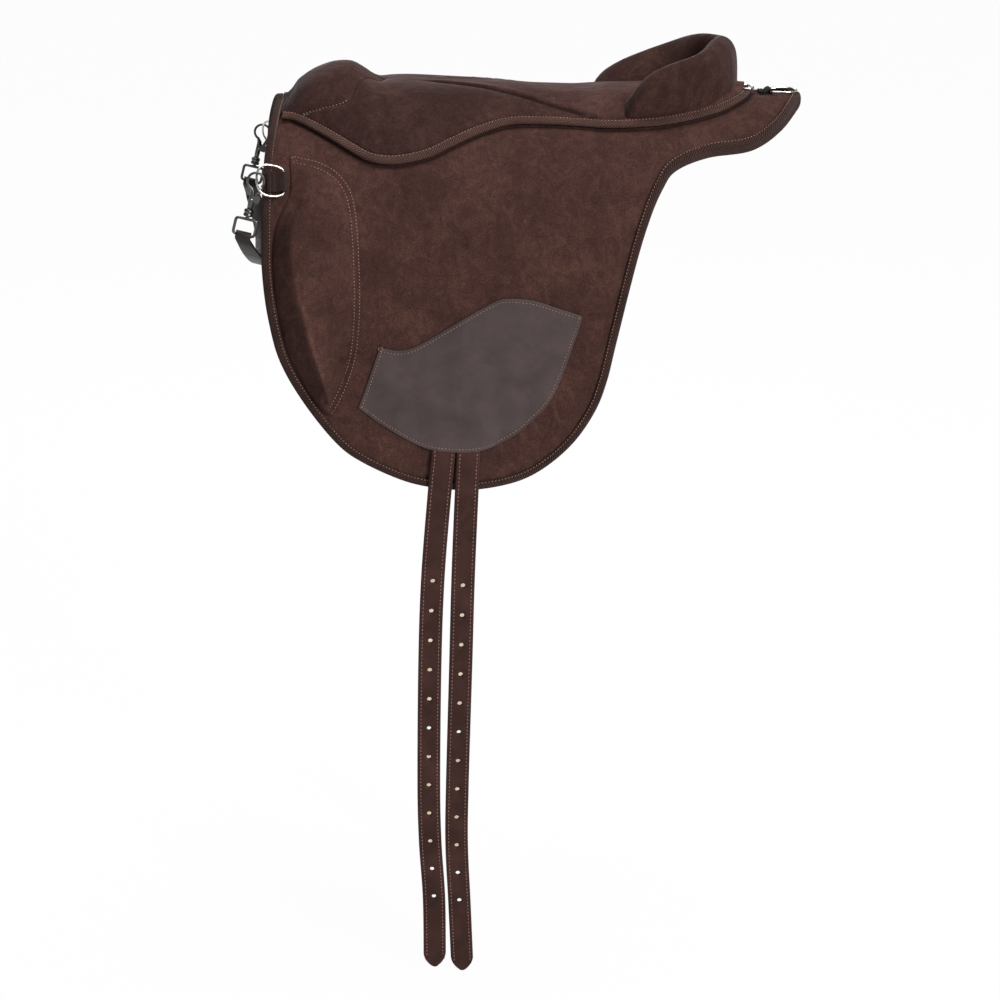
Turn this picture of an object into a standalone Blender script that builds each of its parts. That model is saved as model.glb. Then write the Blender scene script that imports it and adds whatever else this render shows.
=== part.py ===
"""Bareback pad: a suede covered pad with seat, pommel, cantle, knee blocks, girth billets and a grab handle.

Metres, +Z up. +X runs from the pommel to the tail, -Y is the horse's left side. The origin is on the
underside of the spine, halfway along the pad. Every sewn piece is drawn flat, as its pattern is cut:
x runs along the horse, s is the distance from the spine measured over the back, and h is the height
above the lining. Then it is bent over the back along the same straight bend lines as its neighbours.
"""

import math

import bmesh
import bpy
from mathutils import Matrix, Vector

# Driving dimensions
PAD_LENGTH = 0.580
FLAP_DROP = 0.4485
GAP = 0.0003

# The back: a flat strip on the spine, then even bends that take the pad round to the upright flap
SPINE_STRIP = 0.025
BACK_CURVE = 0.212
BEND_COUNT = 9
BEND_POWER = 1.5

# Layers of the pad
LINING_THICK = 0.0015
SKIVE_LENGTH = 0.0300
TAIL_SKIVE_LENGTH = 0.0600
SKIVE_SLOPE = 0.015
CORE_THICK = 0.0161
COVER_THICK = 0.0020
BINDING_THICK = 0.0012
BINDING_WIDTH = 0.0100
WEB_THICK = 0.0015
WEB_WIDTH = 0.044
WEB_HEM = 0.0635
WEB_APART = 0.004

# Seat, pommel and cantle
SEAT_SET_BACK = 0.0190
TAIL_LENGTH = 0.0560
SEAT_BINDING_WIDTH = 0.0080
SEAT_BINDING_THICK = 0.0034
SEAT_SKIN = 0.0018
SEAT_RISE = 0.0200
POMMEL_RISE = 0.0175
POMMEL_HALF_WIDTH = 0.064
SEAT_HALF_WIDTH = 0.1115
SEAM_HALF_WIDTH = 0.0545
CANTLE_RISE = 0.0615
CANTLE_ROLL = 0.0345
CANTLE_ARM = 0.131
CANTLE_SKIN = 0.0020
CANTLE_FOOT = 0.0015
CANTLE_SET_IN = 0.0065
CANTLE_HOLLOW = 0.0600
CANTLE_TAPER = 0.0100
SEAM_MARGIN = 0.0060
FOAM_EDGE = 0.0006
CORNER_CLEAR = 0.0040
SEAT_LEAST_HALF = 0.0120

# Knee blocks and wear patches
KNEE_RISE = 0.0130
KNEE_SKIN = 0.0016
KNEE_BORDER = 0.0095
KNEE_SHOULDER = 0.0180
KNEE_FALL = 0.45
KNEE_FIRST_ROW = 0.0280
KNEE_ROW_PITCH = 0.0165
KNEE_ROWS = 5
PATCH_THICK = 0.0018
PATCH_RAMP = 0.0080

# Billets
BILLET_WIDTH = 0.0252
BILLET_THICK = 0.0040
BILLET_FRONT_LENGTH = 0.609
BILLET_REAR_LENGTH = 0.615
BILLET_APART = 0.0013
BILLET_AFT = -0.0935
BILLET_POINT = 0.016
BILLET_HOLES = 12
HOLE_PITCH = 0.0344
HOLE_DIAMETER = 0.0055
HOLE_END_MARGIN = 0.0895
ROOT_THICK = 0.0024
ROOT_LENGTH = 0.075

# Rings, tabs, snap hooks and grab handle
RING_WIRE = 0.0026
RING_WIDTH = 0.0290
RING_REACH = 0.0295
RING_LIFT = math.radians(22)
TAB_WIDTH = 0.0200
TAB_THICK = 0.0014
TAB_TAIL = 0.0200
TAIL_TAB_TAIL = 0.0110
CANTLE_TAB_TAIL = 0.0080
HOOK_LOOP = 0.0168
HOOK_DROP = 0.0022
HOOK_WIRE = 0.0028
HOOK_LENGTH = 0.03725
HOOK_LEAN = math.radians(15)
PIN_DROP = 0.0185
SHANK_DIAMETER = 0.0050
COLLAR_DIAMETER = 0.0086
COLLAR_LENGTH = 0.0075
STEM_DIAMETER = 0.0030
STEM_REACH = 0.0038
EYE_NECK = 0.00175
PIN_DIAMETER = 0.0018
TRIGGER_CHEEK = 0.0012
EYE_WIDTH = 0.0250
EYE_HEIGHT = 0.0170
EYE_WIRE = 0.0030
EYE_CORNER = 0.0030
HANDLE_WIDTH = 0.0190
HANDLE_THICK = 0.0052
HANDLE_SAG = 0.0460
HANDLE_TUCK = 0.72
HANDLE_PLY = 0.0022
FRONT_RING_AFT = 0.0240
FRONT_RING_DROP = 0.1300
TAIL_RING_AFT = 0.0190
CANTLE_TAB_WIDTH = 0.0120
CANTLE_RING_WIDTH = 0.0240
CANTLE_RING_REACH = 0.0130

# Heights of the layers, the hinges and the ring bars over the lining's underside
LINING_TOP = LINING_THICK
CORE_LOW = LINING_TOP + GAP
CORE_TOP = CORE_LOW + CORE_THICK
COVER_LOW = CORE_TOP + GAP
COVER_TOP = COVER_LOW + COVER_THICK
DECK = COVER_TOP + GAP
BINDING_TOP = DECK + BINDING_THICK
EDGE_INSET = BINDING_THICK + GAP
HINGE_H = BINDING_TOP + GAP + BILLET_THICK / 2
BAR_H = DECK + TAB_THICK + GAP + RING_WIRE / 2
FRONT_BAR_H = BAR_H + BINDING_TOP - COVER_TOP

# Along a snap hook, from the centre of its loop: its pin, and the top and lower bars of its eye
PIN_PLACE = (0.0, 0.0, -PIN_DROP)
EYE_TOP = -HOOK_LENGTH - EYE_NECK - EYE_WIRE / 2
EYE_BAR = EYE_TOP - EYE_HEIGHT

# The seat lies between the pad's front and its bare tail, the webs stop short of the flaps' hems, the
# lining is skived thinner where the binding wraps both ends, and the two billets of a flap hang side by side
HALF = PAD_LENGTH / 2
SEAT_FRONT = -HALF + SEAT_SET_BACK
SEAT_END = HALF - TAIL_LENGTH
SEAT_LENGTH = SEAT_END - SEAT_FRONT
WEB_DROP = FLAP_DROP - WEB_HEM
SKIVE_FRONT = -HALF + SKIVE_LENGTH
SKIVE_REAR = HALF - TAIL_SKIVE_LENGTH
BILLET_SPACING = BILLET_WIDTH + BILLET_APART
STEPS = 2

# Patterns: half outlines from the front spine to the rear spine. The pad's are shares of its half
# length and of its drop, the seat's and the seam's are shares of its length and of their half widths.
PAD_HALF = [
    (-0.945, 0.000), (-0.962, 0.110), (-0.990, 0.245), (-1.003, 0.400), (-1.002, 0.486), (-0.986, 0.580),
    (-0.951, 0.676), (-0.873, 0.774), (-0.761, 0.874), (-0.668, 0.924), (-0.513, 0.974), (-0.380, 0.995),
    (-0.250, 1.000), (-0.102, 0.983), (0.006, 0.948), (0.110, 0.888), (0.187, 0.813), (0.229, 0.740),
    (0.263, 0.643), (0.327, 0.466), (0.377, 0.368), (0.427, 0.303), (0.480, 0.262), (0.600, 0.232),
    (0.766, 0.214), (0.886, 0.155), (0.966, 0.068), (0.994, 0.000),
]
SEAT_WIDTHS = [
    (0.017, 0.0000), (0.017, 0.2242), (0.018, 0.4305), (0.028, 0.5471), (0.054, 0.6143), (0.100, 0.7503),
    (0.140, 0.8686), (0.178, 0.9650), (0.217, 1.0000), (0.255, 0.9930), (0.307, 0.9419), (0.359, 0.8348),
    (0.411, 0.7293), (0.462, 0.6500), (0.497, 0.6316), (0.565, 0.6420), (0.616, 0.6640), (0.677, 0.6860),
    (0.742, 0.6810), (0.800, 0.6570), (0.872, 0.5809), (0.929, 0.4700), (0.979, 0.2650), (1.000, 0.0000),
]
SEAT_TOP = [
    (0.00, 0.10), (0.035, 0.55), (0.08, 0.88), (0.14, 1.00), (0.25, 1.03), (0.42, 0.88),
    (0.56, 0.56), (0.66, 0.46), (0.78, 0.52), (0.90, 0.64), (1.00, 0.64),
]
POMMEL_TOP = [
    (0.018, 0.00), (0.064, 0.53), (0.097, 0.80), (0.118, 0.94), (0.146, 1.00), (0.163, 0.94),
    (0.186, 0.62), (0.205, 0.24), (0.222, 0.00),
]
SEAT_FLANK = 0.135
POMMEL_SEAM = [
    (0.222, 0.0000), (0.214, 0.3670), (0.188, 0.6972), (0.145, 0.9174), (0.096, 0.9817), (0.042, 1.0000),
]
CANTLE_TOP = [
    (0.00, 0.06), (0.06, 0.30), (0.14, 0.56), (0.22, 0.72), (0.36, 0.85), (0.56, 0.93),
    (0.80, 0.99), (1.00, 1.00),
]
# A knee block: metres aft of the pad's front, and shares of the flap's drop
KNEE_EDGE = [
    (0.0310, 0.2297), (0.0310, 0.2787), (0.0300, 0.3188), (0.0215, 0.3790), (0.0160, 0.4192), (0.0137, 0.4682),
    (0.0142, 0.5307), (0.0220, 0.6310), (0.0315, 0.6890), (0.0450, 0.7492), (0.0565, 0.7871), (0.0638, 0.8049),
    (0.0710, 0.7938), (0.0840, 0.7358), (0.0940, 0.6689), (0.0985, 0.5909), (0.1000, 0.5084), (0.0995, 0.4236),
    (0.0975, 0.3501), (0.0925, 0.3021), (0.0810, 0.2664), (0.0630, 0.2419), (0.0420, 0.2297),
]
KNEE_CROSS_ROWS = (0.2631, 0.5017, 0.5619, 0.6243, 0.6867, 0.7402)
# A wear patch: shares of the pad's half length and of the flap's drop
PATCH_EDGE = [
    (-0.5938, 0.6470), (-0.5862, 0.6450), (-0.5241, 0.6528), (-0.4586, 0.6417), (-0.3517, 0.6027), (-0.2545, 0.5657),
    (-0.1724, 0.5380), (-0.1331, 0.5336), (-0.0438, 0.5391), (0.0552, 0.5603), (0.1293, 0.5775), (0.1331, 0.5824),
    (0.1155, 0.6221), (0.0338, 0.7661), (-0.0562, 0.8357), (-0.1379, 0.8751), (-0.2345, 0.8986), (-0.3448, 0.8997),
    (-0.4552, 0.8841), (-0.5779, 0.8366), (-0.6672, 0.7911), (-0.6707, 0.7848), (-0.6517, 0.7514),
]
# Each billet's centre line: shares of its hanging length, and metres aft of its top. No two straps bend alike
FRONT_BILLET_LINES = {
    "left": [(0.00, 0.000), (0.08, -0.005), (0.23, -0.0125), (0.39, -0.0165), (0.62, -0.019),
             (0.74, -0.0182), (0.86, -0.0145), (1.00, -0.0145)],
    "right": [(0.00, 0.000), (0.08, 0.003), (0.16, 0.0068), (0.23, 0.0076), (0.39, 0.0009), (0.55, -0.0041),
              (0.70, -0.0064), (0.86, -0.0078), (1.00, -0.0067)],
}
REAR_BILLET_LINES = {
    "left": [(0.00, 0.000), (0.08, -0.0025), (0.23, -0.0065), (0.39, -0.0095), (0.62, -0.0140),
             (0.74, -0.0152), (0.86, -0.0125), (1.00, -0.0095)],
    "right": [(0.00, 0.000), (0.08, 0.0065), (0.16, 0.0125), (0.23, 0.0144), (0.39, 0.0106), (0.55, 0.0075),
              (0.70, 0.0045), (0.86, 0.0006), (1.00, -0.0010)],
}
# A trigger's cheek, in metres from its pin, and the handle's fall, in shares of its half span and sag
TRIGGER_EDGE = [(-0.0022, -0.0020), (0.0075, -0.0030), (0.0085, 0.0020), (0.0062, 0.0050), (-0.0010, 0.0030)]
HANDLE_FALL = [(0.000, 0.000), (0.036, 0.192), (0.175, 0.510), (0.378, 0.769), (0.640, 0.933), (1.000, 1.000)]
HANDLE_NECK = [(0.75, -0.88), (0.20, -3.75), (-1.62, -4.12), (-0.90, -0.75)]


def bend_lines():
    """Distances from the spine at which the pad bends, closer together where the back is rounder."""
    def reach(turn):
        return BACK_CURVE * (1 - (1 - turn) ** (1 / BEND_POWER))

    first = reach(0.5 / BEND_COUNT)
    return [SPINE_STRIP + reach((k + 0.5) / BEND_COUNT) - first for k in range(BEND_COUNT)]


LINES = bend_lines()
TURN = math.radians(90) / BEND_COUNT


def over_back(s, h):
    """(y, z) of a point at distance s from the spine and height h, with the layers mitred at each bend."""
    side = math.copysign(1, s)
    s = abs(s)
    y = z = behind = 0.0
    last = (0.0, 0.0, h)
    for k, line in enumerate(LINES):
        y += (line - behind) * math.cos(k * TURN)
        z -= (line - behind) * math.sin(k * TURN)
        behind = line
        reach = h / math.cos(TURN / 2)
        lean = (k + 0.5) * TURN
        here = (line, y + reach * math.sin(lean), z + reach * math.cos(lean))
        if s <= line:
            share = (s - last[0]) / (line - last[0])
            return side * (last[1] + share * (here[1] - last[1])), last[2] + share * (here[2] - last[2])
        last = here
    return side * last[1], last[2] - (s - last[0])


def slope_at(s):
    """How far the back has turned at distance s from the spine."""
    return TURN * sum(abs(s) > line for line in LINES)


def smooth(points, steps=STEPS, closed=False):
    """Points along a curve through the given ones."""
    count = len(points)
    made = []
    for i in range(count if closed else count - 1):
        ends = [i - 1, i, i + 1, i + 2]
        if closed:
            a, b, c, d = [Vector(points[j % count]) for j in ends]
        else:
            a, b, c, d = [Vector(points[min(max(j, 0), count - 1)]) for j in ends]
        for step in range(steps):
            t = step / steps
            made.append(0.5 * (2 * b + (c - a) * t + (2 * a - 5 * b + 4 * c - d) * t**2
                               + (3 * b - a - 3 * c + d) * t**3))
    if not closed:
        made.append(Vector(points[-1]))
    return [tuple(point) for point in made]


def both_sides(half):
    """A closed outline from a half one that starts and ends on the spine."""
    return [(x, -s) for x, s in half] + [(x, s) for x, s in reversed(half[1:-1])]


def inset(outline, distance):
    """The outline moved inwards by a distance, or outwards by a negative one."""
    count = len(outline)
    points = [Vector(point) for point in outline]
    area = sum(points[i - 1].cross(points[i]) for i in range(count))
    turn = 1 if area > 0 else -1
    moved = []
    for i, point in enumerate(points):
        before = (point - points[i - 1]).normalized()
        after = (points[(i + 1) % count] - point).normalized()
        normal = Vector((-before.y - after.y, before.x + after.x)).normalized() * turn
        spread = max(0.6, math.sqrt((1 + before.dot(after)) / 2))
        moved.append(tuple(point + normal * distance / spread))
    return [place for place in moved if edge_distance(outline, *place) > 0.9 * abs(distance)]


def along(table, place):
    """A value read from a table of (place, value) with straight lines between."""
    if place <= table[0][0]:
        return table[0][1]
    for (a, low), (b, high) in zip(table, table[1:]):
        if place <= b:
            return low + (high - low) * (place - a) / (b - a)
    return table[-1][1]


def edge_distance(outline, x, s):
    """How far a point is from an outline."""
    point = Vector((x, s))
    nearest = 1.0
    for i in range(len(outline)):
        a = Vector(outline[i - 1])
        run = Vector(outline[i]) - a
        share = min(1.0, max(0.0, (point - a).dot(run) / run.length_squared))
        nearest = min(nearest, (point - a - run * share).length)
    return nearest


collection = None
cutters = None
materials = {}


def start_scene():
    global collection, cutters
    for item in list(bpy.data.objects):
        bpy.data.objects.remove(item, do_unlink=True)
    collection = bpy.data.collections.new("bareback_pad")
    cutters = bpy.data.collections.new("cutters")
    bpy.context.scene.collection.children.link(collection)
    bpy.context.scene.collection.children.link(cutters)


def material(name, colour, roughness, metallic=0.0):
    if name not in materials:
        made = bpy.data.materials.new(name)
        made.use_nodes = True
        made.diffuse_color = (*colour, 1)
        shader = made.node_tree.nodes["Principled BSDF"]
        shader.inputs["Base Color"].default_value = (*colour, 1)
        shader.inputs["Roughness"].default_value = roughness
        shader.inputs["Metallic"].default_value = metallic
        materials[name] = made
    return materials[name]


def suede():
    return material("brown_suede", (0.083, 0.045, 0.036), 0.9)


def patch_leather():
    return material("grey_brown_leather", (0.085, 0.062, 0.056), 0.6)


def binding_tape():
    return material("ribbed_binding", (0.070, 0.040, 0.031), 0.85)


def strap_leather():
    return material("bridle_leather", (0.040, 0.019, 0.018), 0.5)


def foam():
    return material("wool_felt", (0.55, 0.52, 0.47), 0.95)


def webbing():
    return material("webbing", (0.030, 0.020, 0.018), 0.85)


def nickel():
    return material("nickel_plate", (0.75, 0.74, 0.72), 0.2, 1.0)


def gunmetal():
    return material("gunmetal", (0.12, 0.12, 0.12), 0.35, 1.0)


def finish(name, mesh, finish_material, pivot=(0, 0, 0), smooth_shading=False):
    """A named object from a mesh in world space, with its origin at the pivot."""
    mesh.name = name
    mesh.transform(Matrix.Translation(-Vector(pivot)))
    mesh.materials.clear()
    mesh.materials.append(finish_material)
    if smooth_shading:
        mesh.shade_smooth()
        mesh.set_sharp_from_angle(angle=math.radians(40))
    made = bpy.data.objects.new(name, mesh)
    made.location = pivot
    collection.objects.link(made)
    return made


def evaluated_mesh(helper):
    bpy.context.view_layer.update()
    graph = bpy.context.evaluated_depsgraph_get()
    return bpy.data.meshes.new_from_object(helper.evaluated_get(graph))


def flat_blank(outlines, low, high):
    """A flat closed solid between two heights: the first outline is its edge, the others are holes in it."""
    curve = bpy.data.curves.new("blank", "CURVE")
    curve.dimensions = "2D"
    curve.fill_mode = "BOTH"
    curve.extrude = (high - low) / 2
    for outline in outlines:
        spline = curve.splines.new("POLY")
        spline.points.add(len(outline) - 1)
        for point, place in zip(spline.points, outline):
            point.co = (place[0], place[1], 0, 1)
        spline.use_cyclic_u = True
    helper = bpy.data.objects.new("blank", curve)
    cutters.objects.link(helper)
    mesh = evaluated_mesh(helper)
    bpy.data.objects.remove(helper, do_unlink=True)
    made = bmesh.new()
    made.from_mesh(mesh)
    bpy.data.meshes.remove(mesh)
    bmesh.ops.remove_doubles(made, verts=made.verts[:], dist=1e-6)
    if len(outlines) < 3:
        bmesh.ops.dissolve_limit(made, angle_limit=math.radians(0.5), verts=[], edges=made.edges[:])
    bmesh.ops.translate(made, verts=made.verts[:], vec=(0, 0, (low + high) / 2))
    bmesh.ops.recalc_face_normals(made, faces=made.faces[:])
    return made


def to_mesh(made, name="piece"):
    mesh = bpy.data.meshes.new(name)
    made.to_mesh(mesh)
    made.free()
    return mesh


def combine(first, second, operation):
    """The Boolean of two meshes, as a mesh."""
    helpers = []
    for mesh in (first, second):
        helper = bpy.data.objects.new("helper", mesh)
        helper.hide_render = True
        helper.display_type = "WIRE"
        cutters.objects.link(helper)
        helpers.append(helper)
    boolean = helpers[0].modifiers.new("combine", "BOOLEAN")
    boolean.operation = operation
    boolean.object = helpers[1]
    made = evaluated_mesh(helpers[0])
    for helper in helpers:
        bpy.data.objects.remove(helper, do_unlink=True)
    return made


def cut_lines(made, places, axis):
    normal = (1, 0, 0) if axis == "x" else (0, 1, 0)
    for place in places:
        bmesh.ops.bisect_plane(
            made, geom=made.verts[:] + made.edges[:] + made.faces[:], dist=1e-7,
            plane_co=(place * normal[0], place * normal[1], 0), plane_no=normal,
        )


def bend_over_back(made):
    """Cuts a flat solid at the bend lines and lays it over the back."""
    cut_lines(made, [side * line for line in LINES for side in (-1, 1)], "s")
    for vertex in made.verts:
        x, s, h = vertex.co
        y, z = over_back(s, h)
        vertex.co = (x, y, z)
    bmesh.ops.recalc_face_normals(made, faces=made.faces[:])
    return made


def sewn_blank(name, outlines, low, high, finish_material):
    return finish(name, to_mesh(bend_over_back(flat_blank(outlines, low, high))), finish_material)


def flat_sheet(outline, inner, x_lines, s_lines):
    """A flat net of triangles inside an outline, with the padded region's outline drawn into it."""
    net = bmesh.new()
    for rings in ([outline, inner], [inner]):
        blank = flat_blank(rings, 0, 0.001)
        cap = [face for face in blank.faces if face.normal.z > 0.9]
        bmesh.ops.delete(blank, geom=[face for face in blank.faces if face not in cap], context="FACES")
        mesh = to_mesh(blank)
        net.from_mesh(mesh)
        bpy.data.meshes.remove(mesh)
    bmesh.ops.remove_doubles(net, verts=net.verts[:], dist=1e-6)
    cut_lines(net, x_lines, "x")
    cut_lines(net, s_lines + [side * line for line in LINES for side in (-1, 1)], "s")
    bmesh.ops.triangulate(net, faces=net.faces[:])
    return net


def inside(outline, x, s):
    """Whether a point is inside an outline."""
    found = False
    for (ax, ay), (bx, by) in zip(outline, outline[1:] + outline[:1]):
        if (ay > s) != (by > s) and x < ax + (bx - ax) * (s - ay) / (by - ay):
            found = not found
    return found


def thicken(net, low, high):
    """A closed solid from a flat net: low and high give the height of its two faces at (x, s)."""
    grown = bmesh.ops.extrude_face_region(net, geom=net.faces[:], use_keep_orig=True)
    top = {item for item in grown["geom"] if isinstance(item, bmesh.types.BMVert)}
    for vertex in net.verts:
        height = high if vertex in top else low
        vertex.co.z = height(vertex.co.x, vertex.co.y)
    return bend_over_back(net)


def padded_panel(name, outline, inner, rise, skin, x_lines, s_lines, cover_material):
    """A skin that rises over its own foam: returns the skin and the foam."""
    net = flat_sheet(outline, inner, x_lines, s_lines)
    core = net.copy()
    outside = [face for face in core.faces if not inside(inner, *face.calc_center_median().xy)]
    bmesh.ops.delete(core, geom=outside, context="FACES")
    cover = thicken(net, lambda x, s: DECK + rise(x, s), lambda x, s: DECK + rise(x, s) + skin)
    filling = thicken(core, lambda x, s: DECK, lambda x, s: DECK + max(FOAM_EDGE, rise(x, s) - GAP))
    finish(f"{name}_cover", to_mesh(cover), cover_material)
    finish(f"{name}_foam", to_mesh(filling), foam())


# Outlines that several pieces share

def seat_x(share):
    return SEAT_FRONT + share * SEAT_LENGTH


PAD_OUTLINE = both_sides(smooth([(x * HALF, s * FLAP_DROP) for x, s in PAD_HALF]))
SEAT_HALF = smooth([(seat_x(x), s * SEAT_HALF_WIDTH) for x, s in SEAT_WIDTHS])
SEAT_OUTLINE = both_sides(SEAT_HALF)
SEAT_INNER = inset(SEAT_OUTLINE, SEAT_BINDING_WIDTH + GAP)
CANTLE_OUTLINE = inset(SEAT_INNER, CANTLE_SET_IN)
CANTLE_BACK = SEAT_END - SEAT_BINDING_WIDTH - GAP - CANTLE_SET_IN
CANTLE_START = CANTLE_BACK - CANTLE_ARM


SEAT_INNER_HALF = sorted((x, s) for x, s in inset(SEAT_OUTLINE, SEAT_BINDING_WIDTH + 2 * GAP) if s >= 0)


def seat_half_width(x):
    """Half the seat's width inside its binding."""
    return max(SEAT_LEAST_HALF, along(SEAT_INNER_HALF, x))


def seat_rise(x, s):
    """Height of the seat cover's underside over the pad cover."""
    share = (x - SEAT_FRONT) / SEAT_LENGTH
    across = min(1.0, abs(s) / seat_half_width(x))
    body = SEAT_RISE * along(SEAT_TOP, share) * (1 - across**3) ** 0.6
    hump = POMMEL_RISE * along(POMMEL_TOP, share) * max(0.0, 1 - (s / POMMEL_HALF_WIDTH) ** 2)
    return body + hump


def make_pad():
    layer = inset(PAD_OUTLINE, EDGE_INSET)
    lining = flat_blank([layer], 0, LINING_TOP)
    cut_lines(lining, [SKIVE_FRONT, SKIVE_REAR], "x")
    for vertex in lining.verts:
        if vertex.co.z < LINING_TOP / 2:
            beyond = max(0.0, SKIVE_FRONT - vertex.co.x, vertex.co.x - SKIVE_REAR)
            vertex.co.z = SKIVE_SLOPE * beyond
    finish("underside_lining", to_mesh(bend_over_back(lining)), suede())
    core = to_mesh(flat_blank([inset(PAD_OUTLINE, EDGE_INSET + 2 * GAP)], CORE_LOW, CORE_TOP))
    floor = CORE_TOP - WEB_THICK - GAP
    for x in (web_x(0), web_x(1)):
        slot = strip(x, WEB_WIDTH / 2 + GAP, WEB_DROP + GAP)
        core = combine(core, to_mesh(flat_blank([slot], floor, CORE_TOP + 0.01)), "DIFFERENCE")
    bent = bmesh.new()
    bent.from_mesh(core)
    finish("pad_core", to_mesh(bend_over_back(bent)), foam())
    for i, name in enumerate(("girth_web_front", "girth_web_rear")):
        web = strip(web_x(i), WEB_WIDTH / 2, WEB_DROP)
        sewn_blank(name, [web], floor + GAP, CORE_TOP, webbing())
    sewn_blank("pad_cover", [layer], COVER_LOW, COVER_TOP, suede())
    ring = to_mesh(flat_blank([PAD_OUTLINE, inset(PAD_OUTLINE, BINDING_WIDTH)], -EDGE_INSET, BINDING_TOP))
    channel = to_mesh(flat_blank([inset(PAD_OUTLINE, BINDING_THICK)], -GAP, DECK))
    bent = bmesh.new()
    bent.from_mesh(combine(ring, channel, "DIFFERENCE"))
    finish("pad_binding", to_mesh(bend_over_back(bent)), binding_tape())


def web_x(i):
    """The two webs lie over the billets' roots, one to each billet."""
    return BILLET_AFT + (i - 0.5) * (WEB_WIDTH + WEB_APART)


def strip(x, half_width, half_length):
    return [(x - half_width, -half_length), (x + half_width, -half_length),
            (x + half_width, half_length), (x - half_width, half_length)]


def seam_points():
    """The seam between pommel and seat, from the spine to the seat's front corner."""
    return smooth([(seat_x(x), s * SEAM_HALF_WIDTH) for x, s in POMMEL_SEAM])


def cantle_inner_line():
    """The inner foot of the cantle's horseshoe, from the tip of its arm to the spine."""
    back = CANTLE_BACK - CANTLE_ROLL
    points = []
    for share in (0.0, 0.18, 0.40, 0.62, 0.80, 0.93, 1.0):
        x = CANTLE_START + share * (back - CANTLE_START)
        straight = CANTLE_HOLLOW - CANTLE_TAPER * share
        points.append((x, straight / 2 * math.sqrt(max(0.0, 1 - share**5))))
    return smooth(points)


def make_seat():
    start, front_s = seam_points()[-1]
    sides = [(x, s) for x, s in SEAT_INNER_HALF if start + CORNER_CLEAR < x < CANTLE_START - 2 * CORNER_CLEAR]
    rear = [(CANTLE_START - CORNER_CLEAR, seat_half_width(CANTLE_START) * 0.96)]
    rear += [(x - GAP * 2, max(0.0, s - GAP * 2)) for x, s in cantle_inner_line()]
    half = [(x + GAP, s) for x, s in seam_points()[:-1]] + sides + rear
    half[0] = (half[0][0], 0.0)
    half[-1] = (half[-1][0], 0.0)
    margin = SEAM_MARGIN
    flank = [x for x, _ in sides if seat_x(SEAT_FLANK) < x < CANTLE_START - 2 * margin]
    inner = [(x + margin, s) for x, s in seam_points() if s < front_s - margin]
    inner += [(x, seat_half_width(x) - 1.6 * margin) for x in flank]
    inner += [(x - margin, max(0.0, s - margin)) for x, s in cantle_inner_line()]
    inner[0] = (inner[0][0], 0.0)
    inner[-1] = (inner[-1][0], 0.0)
    x_lines = [SEAT_FRONT + SEAT_LENGTH * k / 17 for k in range(1, 16)]
    padded_panel("seat", both_sides(half), both_sides(inner), seat_rise, SEAT_SKIN, x_lines, [0.0], suede())
    sewn_blank("seat_binding", [SEAT_OUTLINE, inset(SEAT_OUTLINE, SEAT_BINDING_WIDTH)],
               DECK, DECK + SEAT_BINDING_THICK, binding_tape())


def make_pommel():
    seam = seam_points()
    end_x = seam[-1][0]
    front = [(x, s) for x, s in SEAT_INNER if s >= -1e-9 and x < end_x + CORNER_CLEAR / 2 and s < seam[-1][1] - CORNER_CLEAR]
    front.sort(key=lambda point: point[1])
    half = front + [(x - GAP, s) for x, s in reversed(seam)]
    half[0] = (half[0][0], 0.0)
    half[-1] = (half[-1][0], 0.0)
    outline = both_sides(half)
    inner = inset(outline, SEAM_MARGIN)
    x_lines = [SEAT_FRONT + SEAT_LENGTH * k / 40 for k in range(1, 9)]
    padded_panel("pommel", outline, inner, seat_rise, SEAT_SKIN, x_lines, [0.0, -SPINE_STRIP / 2, SPINE_STRIP / 2], suede())


def cantle_shape(shrink, low):
    """The horseshoe roll as a loft of arched sections, drawn in by shrink on every side."""
    outer = resample(horseshoe_outer(), 9)
    inner = resample(cantle_inner_line(), 9)
    far = list(zip(outer, inner))
    near = [((ox, -outer_s), (ix, -inner_s)) for (ox, outer_s), (ix, inner_s) in far]
    pairs = near + far[-2::-1]
    shape = bmesh.new()
    rings = []
    count = len(pairs)
    for number, (o, i) in enumerate(pairs):
        share = 1 - abs(number - (count - 1) / 2) / ((count - 1) / 2)
        height = CANTLE_RISE * along(CANTLE_TOP, share)
        middle = (Vector(o) + Vector(i)) / 2
        reach = (Vector(o) - Vector(i)) / 2
        reach *= (reach.length - shrink - GAP) / reach.length
        tip = 0.0
        if number in (0, count - 1):
            tip = shrink
        ring = [shape.verts.new((middle.x + tip + reach.x, middle.y + reach.y, low))]
        for k in range(9):
            angle = math.pi * k / 8
            run = math.copysign(abs(math.cos(angle)) ** 0.62, math.cos(angle))
            place = middle + reach * run
            arch = max(CANTLE_SKIN, height - shrink) * math.sin(angle) ** 0.75
            lift = DECK + (arch if 0 < k < 8 else CANTLE_FOOT)
            ring.append(shape.verts.new((place.x + tip, place.y, lift)))
        ring.append(shape.verts.new((middle.x + tip - reach.x, middle.y - reach.y, low)))
        rings.append(ring)
    for a, b in zip(rings, rings[1:]):
        for k in range(len(a)):
            n = (k + 1) % len(a)
            shape.faces.new((a[k], a[n], b[n], b[k]))
    shape.faces.new(rings[0])
    shape.faces.new(list(reversed(rings[-1])))
    bmesh.ops.triangulate(shape, faces=shape.faces[:])
    bmesh.ops.recalc_face_normals(shape, faces=shape.faces[:])
    return shape


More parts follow.
